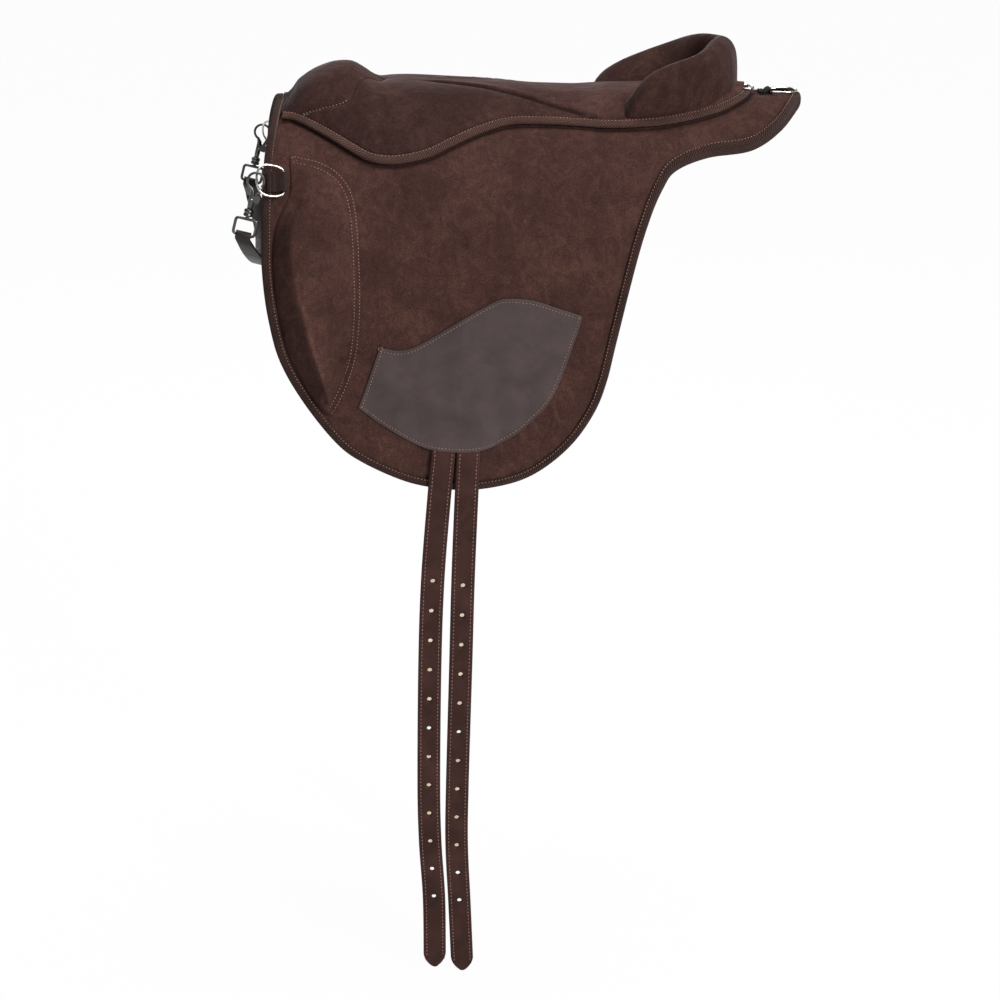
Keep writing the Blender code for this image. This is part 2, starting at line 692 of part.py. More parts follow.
def horseshoe_outer():
    """The outer foot of the cantle, from the tip of its arm to the spine."""
    half = CANTLE_OUTLINE[len(CANTLE_OUTLINE) // 2:]
    points = [(x, s) for x, s in half if x > CANTLE_START and s > CORNER_CLEAR / 2]
    points.sort(key=lambda point: math.atan2(point[1], point[0] - CANTLE_START), reverse=True)
    start = (CANTLE_START, along(sorted((x, s) for x, s in CANTLE_OUTLINE if s >= 0), CANTLE_START))
    return [start] + points + [(CANTLE_BACK, 0.0)]


def resample(line, count):
    """Evenly spaced points along a line."""
    points = [Vector(point) for point in line]
    lengths = [0.0]
    for a, b in zip(points, points[1:]):
        lengths.append(lengths[-1] + (b - a).length)
    made = []
    for k in range(count):
        place = lengths[-1] * k / (count - 1)
        for i in range(len(points) - 1):
            if place <= lengths[i + 1] + 1e-12:
                share = (place - lengths[i]) / (lengths[i + 1] - lengths[i])
                made.append(tuple(points[i].lerp(points[i + 1], share)))
                break
    return made


def make_cantle():
    filling = cantle_shape(CANTLE_SKIN + 3 * GAP, DECK)
    finish("cantle_foam", to_mesh(bend_over_back(filling)), foam())
    skin = to_mesh(cantle_shape(0.0, DECK))
    hollow = to_mesh(cantle_shape(CANTLE_SKIN, DECK - 0.01))
    bent = bmesh.new()
    bent.from_mesh(combine(skin, hollow, "DIFFERENCE"))
    finish("cantle_cover", to_mesh(bend_over_back(bent)), suede())


def knee_rise(outline):
    """A knee block's height: it rises from its stitched border and falls away from the front ridge."""
    front = min(x for x, _ in outline)
    rear = max(x for x, _ in outline)

    def rise(x, s):
        depth = edge_distance(outline, x, s)
        lift = min(1.0, max(0.0, depth - KNEE_BORDER / 2) / KNEE_SHOULDER)
        share = min(1.0, max(0.0, (x - front) / (rear - front)))
        return KNEE_RISE * (1 - KNEE_FALL * share) * math.sin(lift * math.pi / 2)

    return rise


def mirrored(outline, side):
    return [(x, side * s) for x, s in outline]


def make_flap_pieces():
    for side, name in ((-1, "left"), (1, "right")):
        outline = mirrored(smooth([(x - HALF, s * FLAP_DROP) for x, s in KNEE_EDGE], closed=True), side)
        rise = knee_rise(outline)
        x_lines = [KNEE_FIRST_ROW - HALF + KNEE_ROW_PITCH * k for k in range(KNEE_ROWS)]
        s_lines = [side * s * FLAP_DROP for s in KNEE_CROSS_ROWS]
        padded_panel(f"knee_{name}", outline, inset(outline, KNEE_BORDER), rise, KNEE_SKIN,
                     x_lines, s_lines, suede())
        patch = mirrored(patch_outline(), side)
        make_patch(f"wear_patch_{name}", patch, side)


def patch_outline():
    return smooth([(x * HALF, s * FLAP_DROP) for x, s in PATCH_EDGE], closed=True)


def root_span():
    """x limits of the two billet roots under the patch, and the s at which they end."""
    half = BILLET_SPACING / 2 + BILLET_WIDTH / 2
    return BILLET_AFT - half, BILLET_AFT + half


def make_patch(name, outline, side):
    """The patch lies flat on the cover and rises over the sewn ends of the billets."""
    low_x, high_x = root_span()
    top = hinge_s() - ROOT_LENGTH
    front_ramp = [(low_x - PATCH_RAMP, 0), (low_x - GAP, 1)]
    rear_ramp = [(high_x + GAP, 1), (high_x + PATCH_RAMP, 0)]
    top_ramp = [(top - PATCH_RAMP, 0), (top - GAP, 1)]
    blank = flat_blank([outline], 0, PATCH_THICK)
    cut_lines(blank, [x for x, _ in front_ramp + rear_ramp], "x")
    cut_lines(blank, [side * s for s, _ in top_ramp], "s")
    for vertex in blank.verts:
        across = min(along(front_ramp, vertex.co.x), along(rear_ramp, vertex.co.x))
        down = along(top_ramp, abs(vertex.co.y))
        vertex.co.z += DECK + (ROOT_THICK + GAP) * min(across, down)
    bmesh.ops.triangulate(blank, faces=blank.faces[:])
    finish(name, to_mesh(bend_over_back(blank)), patch_leather())


def hinge_s():
    """Distance from the spine at which the billets come out from under the patch."""
    return max(s for _, s in patch_outline()) + BILLET_THICK / 2 + GAP


def billet_line(shares, length):
    return smooth([(down * length, aft) for down, aft in shares], 3)


def make_billets():
    for side, side_name in ((-1, "left"), (1, "right")):
        for row, row_name, lines, length in ((-1, "front", FRONT_BILLET_LINES, BILLET_FRONT_LENGTH),
                                             (1, "rear", REAR_BILLET_LINES, BILLET_REAR_LENGTH)):
            centre = BILLET_AFT + row * BILLET_SPACING / 2
            make_root(f"billet_root_{side_name}_{row_name}", centre, side)
            make_billet(f"billet_{side_name}_{row_name}", centre, side, lines[side_name], length)


def make_root(name, centre, side):
    end = hinge_s() - BILLET_THICK / 2 - GAP
    start = hinge_s() - ROOT_LENGTH
    half = BILLET_WIDTH / 2
    outline = [(centre - half, side * start), (centre + half, side * start),
               (centre + half, side * end), (centre - half, side * end)]
    sewn_blank(name, [outline], DECK, DECK + ROOT_THICK, strap_leather())


def make_billet(name, centre, side, shares, length):
    """The hanging strap: a blank with a pointed end and a row of punched holes, upright against the flap."""
    line = billet_line(shares, length)
    half = BILLET_WIDTH / 2
    body = [down for down, _ in line if down < length - BILLET_POINT - CORNER_CLEAR]
    front_edge = [(centre + along(line, down) - half, down) for down in body]
    rear_edge = [(centre + along(line, down) + half, down) for down in body]
    tip = centre + along(line, length)
    point = [(tip - half, length - BILLET_POINT), (tip - half * 0.62, length - BILLET_POINT * 0.35),
             (tip - half * 0.2, length), (tip + half * 0.2, length),
             (tip + half * 0.62, length - BILLET_POINT * 0.35), (tip + half, length - BILLET_POINT)]
    outlines = [front_edge + point + rear_edge[::-1]]
    first = length - HOLE_END_MARGIN - (BILLET_HOLES - 1) * HOLE_PITCH
    for k in range(BILLET_HOLES):
        down = first + k * HOLE_PITCH
        middle = centre + along(line, down)
        outlines.append([(middle + HOLE_DIAMETER / 2 * math.cos(a), down + HOLE_DIAMETER / 2 * math.sin(a))
                         for a in [math.tau * n / 8 for n in range(8)]])
    blank = flat_blank(outlines, -BILLET_THICK / 2, BILLET_THICK / 2)
    strap = to_mesh(blank)
    roll = rod(BILLET_THICK / 2 - GAP / 6, BILLET_WIDTH - GAP / 6, 10)
    roll.transform(Matrix.Translation((centre, 0, 0)))
    strap = combine(strap, roll, "UNION")
    y, z = over_back(side * hinge_s(), HINGE_H)
    # Flat x, down and thickness become x, -z and the outward y
    upright = Matrix(((1, 0, 0, 0), (0, 0, side, y), (0, -1, 0, z), (0, 0, 0, 1)))
    strap.transform(upright)
    fix_normals(strap)
    finish(name, strap, strap_leather(), (centre, y, z))


def fix_normals(mesh):
    made = bmesh.new()
    made.from_mesh(mesh)
    bmesh.ops.recalc_face_normals(made, faces=made.faces[:])
    made.to_mesh(mesh)
    made.free()


def rod(radius, length, sides, axis="X"):
    """A closed cylinder along an axis, centred on the origin."""
    made = bmesh.new()
    bmesh.ops.create_cone(made, cap_ends=True, segments=sides, radius1=radius, radius2=radius, depth=length)
    turn = {"X": Matrix.Rotation(math.pi / 2, 4, "Y"), "Y": Matrix.Rotation(math.pi / 2, 4, "X"),
            "Z": Matrix.Identity(4)}[axis]
    bmesh.ops.transform(made, matrix=turn, verts=made.verts[:])
    return to_mesh(made)


def block(low, high):
    """A closed box between two corners."""
    made = bmesh.new()
    bmesh.ops.create_cube(made, size=1)
    size = Vector(high) - Vector(low)
    middle = (Vector(high) + Vector(low)) / 2
    shape = Matrix.Translation(middle) @ Matrix.Diagonal((*size, 1))
    bmesh.ops.transform(made, matrix=shape, verts=made.verts[:])
    return to_mesh(made)


def tube(points, radius, closed=False, radii=None, resolution=2):
    """A round wire through the points, as a closed mesh."""
    curve = bpy.data.curves.new("wire", "CURVE")
    curve.dimensions = "3D"
    curve.bevel_depth = radius
    curve.bevel_resolution = resolution
    curve.use_fill_caps = True
    spline = curve.splines.new("POLY")
    spline.points.add(len(points) - 1)
    for k, (point, place) in enumerate(zip(spline.points, points)):
        point.co = (*place, 1)
        point.radius = radii[k] if radii else 1.0
    spline.use_cyclic_u = closed
    helper = bpy.data.objects.new("wire", curve)
    cutters.objects.link(helper)
    mesh = evaluated_mesh(helper)
    bpy.data.objects.remove(helper, do_unlink=True)
    made = bmesh.new()
    made.from_mesh(mesh)
    bmesh.ops.remove_doubles(made, verts=made.verts[:], dist=1e-6)
    bmesh.ops.recalc_face_normals(made, faces=made.faces[:])
    made.to_mesh(mesh)
    made.free()
    return mesh


def ring_points(width, reach, count=10):
    """A D outline: the bar along y through the origin, and the bow towards -x."""
    radius = width / 2
    straight = max(0.0, reach - radius)
    points = [(0, -radius), (0, 0), (0, radius)]
    bow = min(radius, reach)
    for k in range(count + 1):
        angle = math.pi * k / count
        points.append((-straight - bow * math.sin(angle), radius * math.cos(angle)))
    if straight == 0:
        points = points[:3] + points[4:-1]
    return points


def panel_frame(x, side, s, h):
    """A frame on the pad: x along the horse, y along the slope, z out of the pad."""
    y, z = over_back(side * s, h)
    turn = -side * slope_at(s)
    return Matrix.Translation((x, y, z)) @ Matrix.Rotation(turn, 4, "X")


def make_ring(name, frame, width, reach, lift, forward=True):
    points = []
    for x, y in ring_points(width, reach):
        points.append((x * math.cos(lift), y, -x * math.sin(lift)))
    mesh = tube(points, RING_WIRE / 2, closed=True)
    if not forward:
        mesh.transform(Matrix.Rotation(math.pi, 4, "Z"))
    mesh.transform(frame)
    return finish(name, mesh, nickel(), frame.translation, smooth_shading=True)


def make_tab(name, frame, width, tail, forward=True):
    """A webbing loop round the ring's bar, its two ends sewn down together on the pad towards -x."""
    bore = RING_WIRE / 2 + GAP
    outside = bore + TAB_THICK
    tail_top = min(-outside + 2 * TAB_THICK + GAP, 0.0)
    meet = math.acos(tail_top / outside)
    outline = [(-tail, -outside), (-tail, tail_top), (-outside * math.sin(meet), tail_top)]
    outline += [(-outside * math.sin(a), outside * math.cos(a))
                for a in [meet + (math.pi - meet - math.tau) * (k + 1) / 9 for k in range(9)]]
    eye = [(bore * math.cos(a), bore * math.sin(a)) for a in [math.tau * (k + 0.5) / 10 for k in range(10)]]
    eye = [(x / math.cos(math.pi / 10), y / math.cos(math.pi / 10)) for x, y in eye]
    mesh = to_mesh(flat_blank([outline, eye], -width / 2, width / 2))
    mesh.transform(Matrix.Rotation(math.pi / 2, 4, "X"))
    if not forward:
        mesh.transform(Matrix.Rotation(math.pi, 4, "Z"))
    mesh.transform(frame)
    fix_normals(mesh)
    return finish(name, mesh, webbing())


def front_ring_place():
    """x and s of the front rings' bars: near the front edge, in the middle of one flat run between bends."""
    run = next(k for k in range(BEND_COUNT - 1) if LINES[k + 1] > FRONT_RING_DROP)
    return -HALF + FRONT_RING_AFT, (LINES[run] + LINES[run + 1]) / 2


def hook_point(side):
    """The point on a front ring's bow where its snap hook hangs."""
    x, s = front_ring_place()
    frame = panel_frame(x, side, s, FRONT_BAR_H)
    return frame @ Vector((-RING_REACH * math.cos(RING_LIFT), 0, RING_REACH * math.sin(RING_LIFT)))


def hook_frame(side):
    """The snap hook's frame: the centre of its loop, with z up along the shank and y across."""
    lean = Matrix.Rotation(HOOK_LEAN, 4, "Y")
    return Matrix.Translation(hook_point(side)) @ lean @ Matrix.Translation((0, 0, -HOOK_DROP))


def make_hook(side, name):
    frame = hook_frame(side)
    radius = HOOK_LOOP / 2
    thick = SHANK_DIAMETER / HOOK_WIRE
    path = [(0, 0, -HOOK_LENGTH + 0.7 * COLLAR_LENGTH), (0, 0, -PIN_DROP - SHANK_DIAMETER),
            (0, 0, -PIN_DROP + SHANK_DIAMETER / 2), (-HOOK_WIRE / 4, 0, -PIN_DROP + 1.2 * SHANK_DIAMETER)]
    sizes = [thick, thick, thick, thick * 0.85]
    for k in range(12):
        angle = math.radians(250 - 26 * k)
        path.append((radius * math.cos(angle), 0, radius * math.sin(angle)))
        sizes.append(1.15 if k == 0 else 1.0)
    body = tube(path, HOOK_WIRE / 2, radii=sizes)
    collar = rod(COLLAR_DIAMETER / 2, COLLAR_LENGTH, 10, "Z")
    collar.transform(Matrix.Translation((0, 0, -HOOK_LENGTH + COLLAR_LENGTH / 2)))
    body = combine(body, collar, "UNION")
    bore = rod(STEM_DIAMETER / 2 + GAP, 2 * (STEM_REACH + GAP), 10, "Z")
    bore.transform(Matrix.Translation((0, 0, -HOOK_LENGTH)))
    body = combine(body, bore, "DIFFERENCE")
    hole = rod(PIN_DIAMETER / 2 + GAP, 2 * SHANK_DIAMETER, 8, "Y")
    hole.transform(Matrix.Translation(PIN_PLACE))
    body = combine(body, hole, "DIFFERENCE")
    body.transform(frame)
    finish(f"hook_body_{name}", body, gunmetal(), frame.translation, smooth_shading=True)
    make_trigger(frame, name)
    make_eye(frame, name)


def make_trigger(frame, name):
    """The spring gate: a blade that closes the loop, two cheeks beside the shank and a thumb tail."""
    inside_y = SHANK_DIAMETER / 2 + GAP
    outside_y = inside_y + TRIGGER_CHEEK
    reach = inside_y + 2 * GAP
    px, _, pz = PIN_PLACE
    shape = to_mesh(flat_blank([[(px + x, pz + z) for x, z in TRIGGER_EDGE]], -outside_y, outside_y))
    slot = block((-HOOK_LOOP, pz - HOOK_LOOP, -inside_y), (px + reach, pz + HOOK_LOOP, inside_y))
    shape = combine(shape, slot, "DIFFERENCE")
    tip = HOOK_LOOP / 2 * Vector((math.cos(math.radians(-30)), math.sin(math.radians(-30))))
    half = HOOK_WIRE * 0.43
    below = HOOK_WIRE / 2 + 2.5 * GAP
    blade = [(px + reach, pz + 0.0008), (px + 0.0060, pz + 0.0010), (tip.x + half, tip.y - below),
             (tip.x - half, tip.y - below), (px + reach, pz + 0.0050)]
    shape = combine(shape, to_mesh(flat_blank([blade], -HOOK_WIRE / 2, HOOK_WIRE / 2)), "UNION")
    shape.transform(Matrix.Rotation(math.pi / 2, 4, "X"))
    hole = rod(PIN_DIAMETER / 2 + GAP, 4 * outside_y, 8, "Y")
    hole.transform(Matrix.Translation(PIN_PLACE))
    shape = combine(shape, hole, "DIFFERENCE")
    shape.transform(frame)
    pivot = frame @ Vector(PIN_PLACE)
    finish(f"trigger_{name}", shape, gunmetal(), pivot)
    pin = rod(PIN_DIAMETER / 2, 2 * (outside_y + GAP), 8, "Y")
    pin.transform(Matrix.Translation(PIN_PLACE))
    pin.transform(frame)
    finish(f"trigger_pin_{name}", pin, nickel(), pivot)


def make_eye(frame, name):
    """The swivel eye: a round cornered frame, with a stem that turns in the hook's collar."""
    half = EYE_WIDTH / 2 - EYE_WIRE / 2
    inner = half - EYE_CORNER
    low, high = EYE_BAR + EYE_CORNER, EYE_TOP - EYE_CORNER
    points = []
    for cx, cz, first in ((inner, low, 270), (inner, high, 0), (-inner, high, 90), (-inner, low, 180)):
        for k in range(3):
            angle = math.radians(first + 45 * k)
            points.append((cx + EYE_CORNER * math.cos(angle), 0, cz + EYE_CORNER * math.sin(angle)))
    eye = tube(points, EYE_WIRE / 2, closed=True)
    top = -HOOK_LENGTH + STEM_REACH
    stem = rod(STEM_DIAMETER / 2, top - EYE_TOP, 8, "Z")
    stem.transform(Matrix.Translation((0, 0, (top + EYE_TOP) / 2)))
    eye = combine(eye, stem, "UNION")
    eye.transform(frame)
    finish(f"swivel_eye_{name}", eye, gunmetal(), frame.translation, smooth_shading=True)


def handle_band(line):
    """The strap's edge outline along its fall, short of the two loops at its ends."""
    upper, lower = [], []
    for k, (y, z) in enumerate(line):
        before, after = line[max(k - 1, 0)], line[min(k + 1, len(line) - 1)]
        run = Vector((after[0] - before[0], after[1] - before[1])).normalized()
        normal = Vector((-run.y, run.x)) * HANDLE_THICK / 2
        upper.append((y + normal.x, z + normal.y))
        lower.append((y - normal.x, z - normal.y))
    return upper[2:-2] + lower[2:-2][::-1]


def make_handle():
    """The grab handle: a doubled strap that hangs between the two eyes and loops round their lower bars."""
    left = hook_point(-1)
    span = abs(left.y)
    bore = EYE_WIRE / 2 + GAP
    outside = bore + HANDLE_PLY
    low = EYE_BAR - HOOK_DROP
    line = smooth([(span * (across - 1), low - down * HANDLE_SAG) for across, down in HANDLE_FALL], 3)
    line += [(-y, z) for y, z in reversed(line[:-1])]
    strap = to_mesh(flat_blank([handle_band(line)], -HANDLE_WIDTH / 2, HANDLE_WIDTH / 2))
    width = min(HANDLE_WIDTH, EYE_WIDTH - EYE_WIRE - 2 * EYE_CORNER)
    for end in (-1, 1):
        edge = [(end * (span + x * outside), low + z * outside) for x, z in HANDLE_NECK]
        strap = combine(strap, to_mesh(flat_blank([edge], -width / 2, width / 2)), "UNION")
        loop = rod(outside, width, 14, "Z")
        loop.transform(Matrix.Translation((end * span, low, 0)))
        strap = combine(strap, loop, "UNION")
    for end in (-1, 1):
        hole = rod(bore / math.cos(math.pi / 12), 2 * HANDLE_WIDTH, 12, "Z")
        hole.transform(Matrix.Translation((end * span, low, 0)))
        strap = combine(strap, hole, "DIFFERENCE")
    # Below its loops the strap hangs back under the pad, by its tuck in every metre of drop
    tucked = bmesh.new()
    tucked.from_mesh(strap)
    cut_lines(tucked, [low - outside], "s")
    for vertex in tucked.verts:
        vertex.co.z += HANDLE_TUCK * max(0.0, low - outside - vertex.co.y)
    strap = to_mesh(tucked)
    # The strap's own (across, up, width) become y, z and x, leaning forward with the hooks
    strap.transform(Matrix(((0, 0, 1, 0), (1, 0, 0, 0), (0, 1, 0, 0), (0, 0, 0, 1))))
    strap.transform(Matrix.Translation((left.x, 0, left.z)) @ Matrix.Rotation(HOOK_LEAN, 4, "Y"))
    fix_normals(strap)
    finish("grab_handle", strap, strap_leather(), (left.x, 0, left.z), smooth_shading=True)


def make_hardware():
    x, s = front_ring_place()
    for side, name in ((-1, "left"), (1, "right")):
        frame = panel_frame(x, side, s, FRONT_BAR_H)
        make_tab(f"ring_tab_{name}", frame, TAB_WIDTH, TAB_TAIL)
        make_ring(f"front_ring_{name}", frame, RING_WIDTH, RING_REACH, RING_LIFT)
        make_hook(side, name)
    make_handle()
    frame = panel_frame(SEAT_END + TAIL_RING_AFT, 1, 0.0, BAR_H)
    make_tab("tail_tab", frame, TAB_WIDTH, TAIL_TAB_TAIL)
    make_ring("tail_ring", frame, RING_WIDTH, RING_REACH, 0.0, forward=False)
    height = BAR_H + SEAT_BINDING_THICK + GAP
    frame = panel_frame(CANTLE_BACK + RING_WIRE / 2 + TAB_THICK + 2 * GAP, 1, 0.0, height)
    make_tab("cantle_tab", frame, CANTLE_TAB_WIDTH, CANTLE_TAB_TAIL, forward=False)
    make_ring("cantle_ring", frame, CANTLE_RING_WIDTH, CANTLE_RING_REACH, 0.0, forward=False)


def report_places():
    """Prints the places that a description of the moving parts needs."""
    for side, name in ((-1, "left"), (1, "right")):
        x, s = front_ring_place()
        frame = panel_frame(x, side, s, FRONT_BAR_H)
        print(name, "ring bar", tuple(round(v, 5) for v in frame.translation),
              "axis", tuple(round(v, 5) for v in frame.to_3x3().col[1]))
        print(name, "hook", tuple(round(v, 5) for v in hook_point(side)))
        pin = hook_frame(side) @ Vector(PIN_PLACE)
        print(name, "trigger pin", tuple(round(v, 5) for v in pin))
        y, z = over_back(side * hinge_s(), HINGE_H)
        print(name, "billet hinge", round(y, 5), round(z, 5), "s", round(hinge_s(), 5))
    print("tail ring", SEAT_END + TAIL_RING_AFT, round(BAR_H, 5))


def main():
    start_scene()
    make_pad()
    make_seat()
    make_pommel()
    make_cantle()
    make_flap_pieces()
    make_billets()
    make_hardware()
    report_places()


if __name__ == "__main__":
    main()
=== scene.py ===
"""The looks of a suede bareback pad, made around its CAD frame.

Metres, +Z up, +X from the pommel to the tail, -Y the horse's left side. Each sewn piece is drawn flat,
as its pattern is cut: x runs along the horse, s is the distance from the spine over the back, and h is
the height above the lining. lay() then bends it over the back.
"""

import math  # noqa: E402
from contextlib import contextmanager  # noqa: E402
from functools import partial  # noqa: E402

import bmesh  # noqa: E402
import bpy  # noqa: E402
import numpy as np  # noqa: E402
from bpy.props import FloatProperty, FloatVectorProperty, IntProperty, PointerProperty  # noqa: E402
from mathutils import Matrix, Vector, noise  # noqa: E402
from mathutils.geometry import delaunay_2d_cdt  # noqa: E402


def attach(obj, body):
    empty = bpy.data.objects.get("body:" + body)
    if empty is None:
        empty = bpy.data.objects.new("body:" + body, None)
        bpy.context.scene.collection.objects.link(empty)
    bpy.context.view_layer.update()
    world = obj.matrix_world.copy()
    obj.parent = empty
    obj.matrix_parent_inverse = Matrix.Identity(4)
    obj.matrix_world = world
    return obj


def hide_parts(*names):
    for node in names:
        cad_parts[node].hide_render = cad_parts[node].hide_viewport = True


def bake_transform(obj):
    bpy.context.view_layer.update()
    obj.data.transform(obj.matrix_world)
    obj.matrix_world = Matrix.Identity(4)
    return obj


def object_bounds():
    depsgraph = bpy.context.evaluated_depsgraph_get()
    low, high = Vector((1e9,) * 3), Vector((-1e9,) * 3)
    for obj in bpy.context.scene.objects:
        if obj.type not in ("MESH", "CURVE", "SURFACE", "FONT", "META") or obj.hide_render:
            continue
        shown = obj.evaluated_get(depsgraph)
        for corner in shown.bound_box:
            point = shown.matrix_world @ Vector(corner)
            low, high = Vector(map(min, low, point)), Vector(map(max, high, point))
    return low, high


bl_info = {
    "name": "Bareback pad",
    "version": (1, 0, 0),
    "blender": (4, 5, 0),
    "location": "View3D > Sidebar > Bareback pad",
    "description": "Builds the looks of a suede bareback pad around its frame",
    "category": "Object",
}

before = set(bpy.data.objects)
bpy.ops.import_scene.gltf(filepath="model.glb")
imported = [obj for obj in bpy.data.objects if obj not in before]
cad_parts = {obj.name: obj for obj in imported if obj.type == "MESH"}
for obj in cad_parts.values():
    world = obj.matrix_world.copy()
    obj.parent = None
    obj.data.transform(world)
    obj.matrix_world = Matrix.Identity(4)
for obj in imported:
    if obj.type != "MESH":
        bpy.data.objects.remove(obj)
CAD_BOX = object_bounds()
SIDES = ((-1, "left"), (1, "right"))


# The pad. All sizes are in metres, and those of the frame's solids are the same there

HALF = 0.290
FLAP_DROP = 0.4485
SPINE_STRIP = 0.01708
BACK_CURVE = 0.212
BEND_POWER = 1.5
GAP = 0.0003
CORE_LOW = 0.0015
COVER_TOP = 0.0202
DECK = 0.0205
BINDING_TOP = 0.0217
BINDING_WIDTH = 0.0100
EDGE_INSET = 0.0015
EDGE_ROUND = 0.0060
EDGE_LIFT = 0.0085
EDGE_LIFT_START = 0.008
EDGE_LIFT_WIDTH = 0.022
LINING_MARGIN = 0.002

# How close the points of the nets and lines are

LINE_STEP = 0.002
WIDE_STEP = 0.003
FINE_STEP = 0.0005
SEAM_STEP = 0.0010
TAPE_STEP = 0.0025
PAD_NET, PAD_ROWS = 0.0050, (0.0012, 0.003, 0.0055, 0.009, 0.0125)
SEAT_NET, CUSHION_NET, CUSHION_ROWS = 0.0042, 0.0036, (0.001, 0.0025, 0.0045)
PATCH_NET, PATCH_ROWS = 0.0040, (0.0004, 0.001, 0.002, 0.0035, 0.006)
BILLET_NET, BILLET_ROWS = 0.0034, (0.0005, 0.0014, 0.0036)
HOLE_SIDES = 16

# Stuffing. A cushion is held at its edge and seams and swells between them, and its surface is uneven by
# (height, length of a swelling, seed)

HELD_EDGE = 0.006
HELD_RAMP = 0.012
HELD_SEAM = (1.0, 0.006)
PUFF_PRESSURE = 4.0
PUFF_FRAMES = 20
PUFF_CALMING = 24
PAD_STUFFING = (0.0007, 0.070, 3.0)
SEAT_STUFFING = (0.0006, 0.045, 9.0)
KNEE_STUFFING = (0.0008, 0.040, 5.0)

# Grooves under stitches, as (depth, width). Those of the seat's seams are shares of the seam depth. The rounding
# of cut leather is (drop, width)

BINDING_GROOVE = (0.0014, 0.0040)
SEAT_GROOVE = (0.0020, 0.0022)
POMMEL_GROOVE = (0.5, 0.0042)
TWIST_GROOVE = (1.1, 0.0014)
TWIST_STEP, TWIST_STEP_OFF = (0.45, 0.0040), 0.003
KNEE_GROOVE = (0.0005, 0.0016)
PATCH_GROOVE, PATCH_ROUND = (0.0002, 0.0011), (0.0007, 0.0010)
BILLET_GROOVE, BILLET_ROUND = (0.0003, 0.0008), (0.0011, 0.0014)
EDGE_BEVEL = 0.0002
SHARP_EDGE = math.radians(40)

# Seat, pommel and cantle

SEAT_FRONT = -0.2710
SEAT_LENGTH = 0.505
SEAT_BINDING_WIDTH = 0.0080
SEAT_SKIN = 0.0018
SEAT_RISE = 0.0200
SEAT_CROWN = 2.2
SEAT_FULLNESS = 0.75
SEAT_LEAST_HALF = 0.012
POMMEL_RISE = 0.0175
POMMEL_HALF_WIDTH = 0.064
POMMEL_FRONT_SLOPE = 0.016
POMMEL_STITCHES = (-0.2440, -0.1960)
POMMEL_STITCH_INSET = 0.0035
CANTLE_RISE = 0.0615
CANTLE_ROLL = 0.0345
CANTLE_ARMS = {-1: 0.131, 1: 0.157}
CANTLE_SET_IN = 0.0065
CANTLE_SIDE_OUT = 0.0045
CANTLE_HOLLOW = 0.0600
CANTLE_TAPER = 0.0100
CANTLE_FOOT = 0.0015
CANTLE_STEPS = 44
CANTLE_STITCH_HEIGHT = 0.0022

# Knee blocks and wear patches

KNEE_RISE = 0.0190
KNEE_CREST = 0.04
KNEE_FALL = 1.35
KNEE_SKIN = 0.0016
KNEE_BORDER = 0.0085
KNEE_SHOULDER = 0.0160
KNEE_CREST_ENDS = (0.155, 0.345)
KNEE_PUFF = 0.0025
KNEE_STITCHES = (0.0016, 0.0068)
PATCH_THICK = 0.0018
PATCH_RAMP = 0.0220
PATCH_STITCH_INSET = 0.0035

# Billets

BILLET_WIDTH = 0.0252
BILLET_THICK = 0.0040
BILLET_LENGTHS = (0.609, 0.615)
BILLET_SPACING = 0.0265
BILLET_AFT = -0.0935
BILLET_POINT = 0.016
HOLE_PITCH = 0.0344
HOLE_END_MARGIN = 0.0895
ROOT_THICK = 0.0024
ROOT_LENGTH = 0.075
HINGE_S = 0.40666
HINGE_LIP = 0.002

# Rings and their loops. A ring is (width, reach), a loop is (width, length)

RING_WIRE = 0.0026
RING_PLAY = 0.00012
RING_REACH = 0.0295
RING_LIFT = math.radians(22)
RING_SQUARE = 2.4
RING_BAR = 0.77
RING_MIDDLE = 0.49
RING_CORNER = 0.0022
FRONT_RING, FRONT_LOOP = (0.0330, RING_REACH), (0.0208, 0.0170)
TAIL_RING, TAIL_LOOP = (0.0290, RING_REACH), (0.0200, 0.0110)
CANTLE_RING, CANTLE_LOOP = (0.0240, 0.0130), (0.0120, 0.0080)
TAB_THICK = 0.0014
FOLD = 0.0008
FRONT_BAR = (-0.266, 0.12793, -0.04307)
FRONT_SLOPE = math.radians(60)
TAIL_BAR = (0.253, 0.0, 0.0235)
CANTLE_BAR = (0.2225, 0.0, 0.0272)

# Snap hooks and handle. Heights are along a hook's shank, from the middle of its loop

HOOK_LOOP = 0.0168
HOOK_DROP = 0.0022
HOOK_WIRE = 0.0026
HOOK_LENGTH = 0.03725
HOOK_LEAN = math.radians(15)
PIN_DROP = 0.0185
SHANK_DIAMETER = 0.0058
COLLAR_DIAMETER = 0.0096
COLLAR_LENGTH = 0.0075
EYE_WIDTH = 0.0250
EYE_WIRE = 0.0030
EYE_CORNER = 0.0030
EYE_TOP = -0.0405
EYE_BAR = -0.0575
HANDLE_WIDTH = 0.0190
HANDLE_THICK = 0.0052
HANDLE_SAG = 0.0460
HANDLE_TUCK = 0.72
HANDLE_PLY = 0.0022
HANDLE_LAP = 0.024
HANDLE_SETTLE = 0.03

# Weaves, from one thread or rib to the next

WEFT_PITCH = 0.0016
WEBBING_PITCH = 0.0018

# Painted shade and light on the suede. Above 0 the colour is darkened as painted shade, below 0 lightened as painted
# light.
# Along a line it is (strength, width)

SHADING_PAINT_STRENGTH = 0.4
# Painted shadow beside the seat's tape, and painted shade over the tail
SEAT_EDGE_PAINTED_SHADOW = (1.2, 0.0030)
TAIL_PAINTED_SHADE = 0.35
TAIL_PAINTED_SHADE_START = 0.16
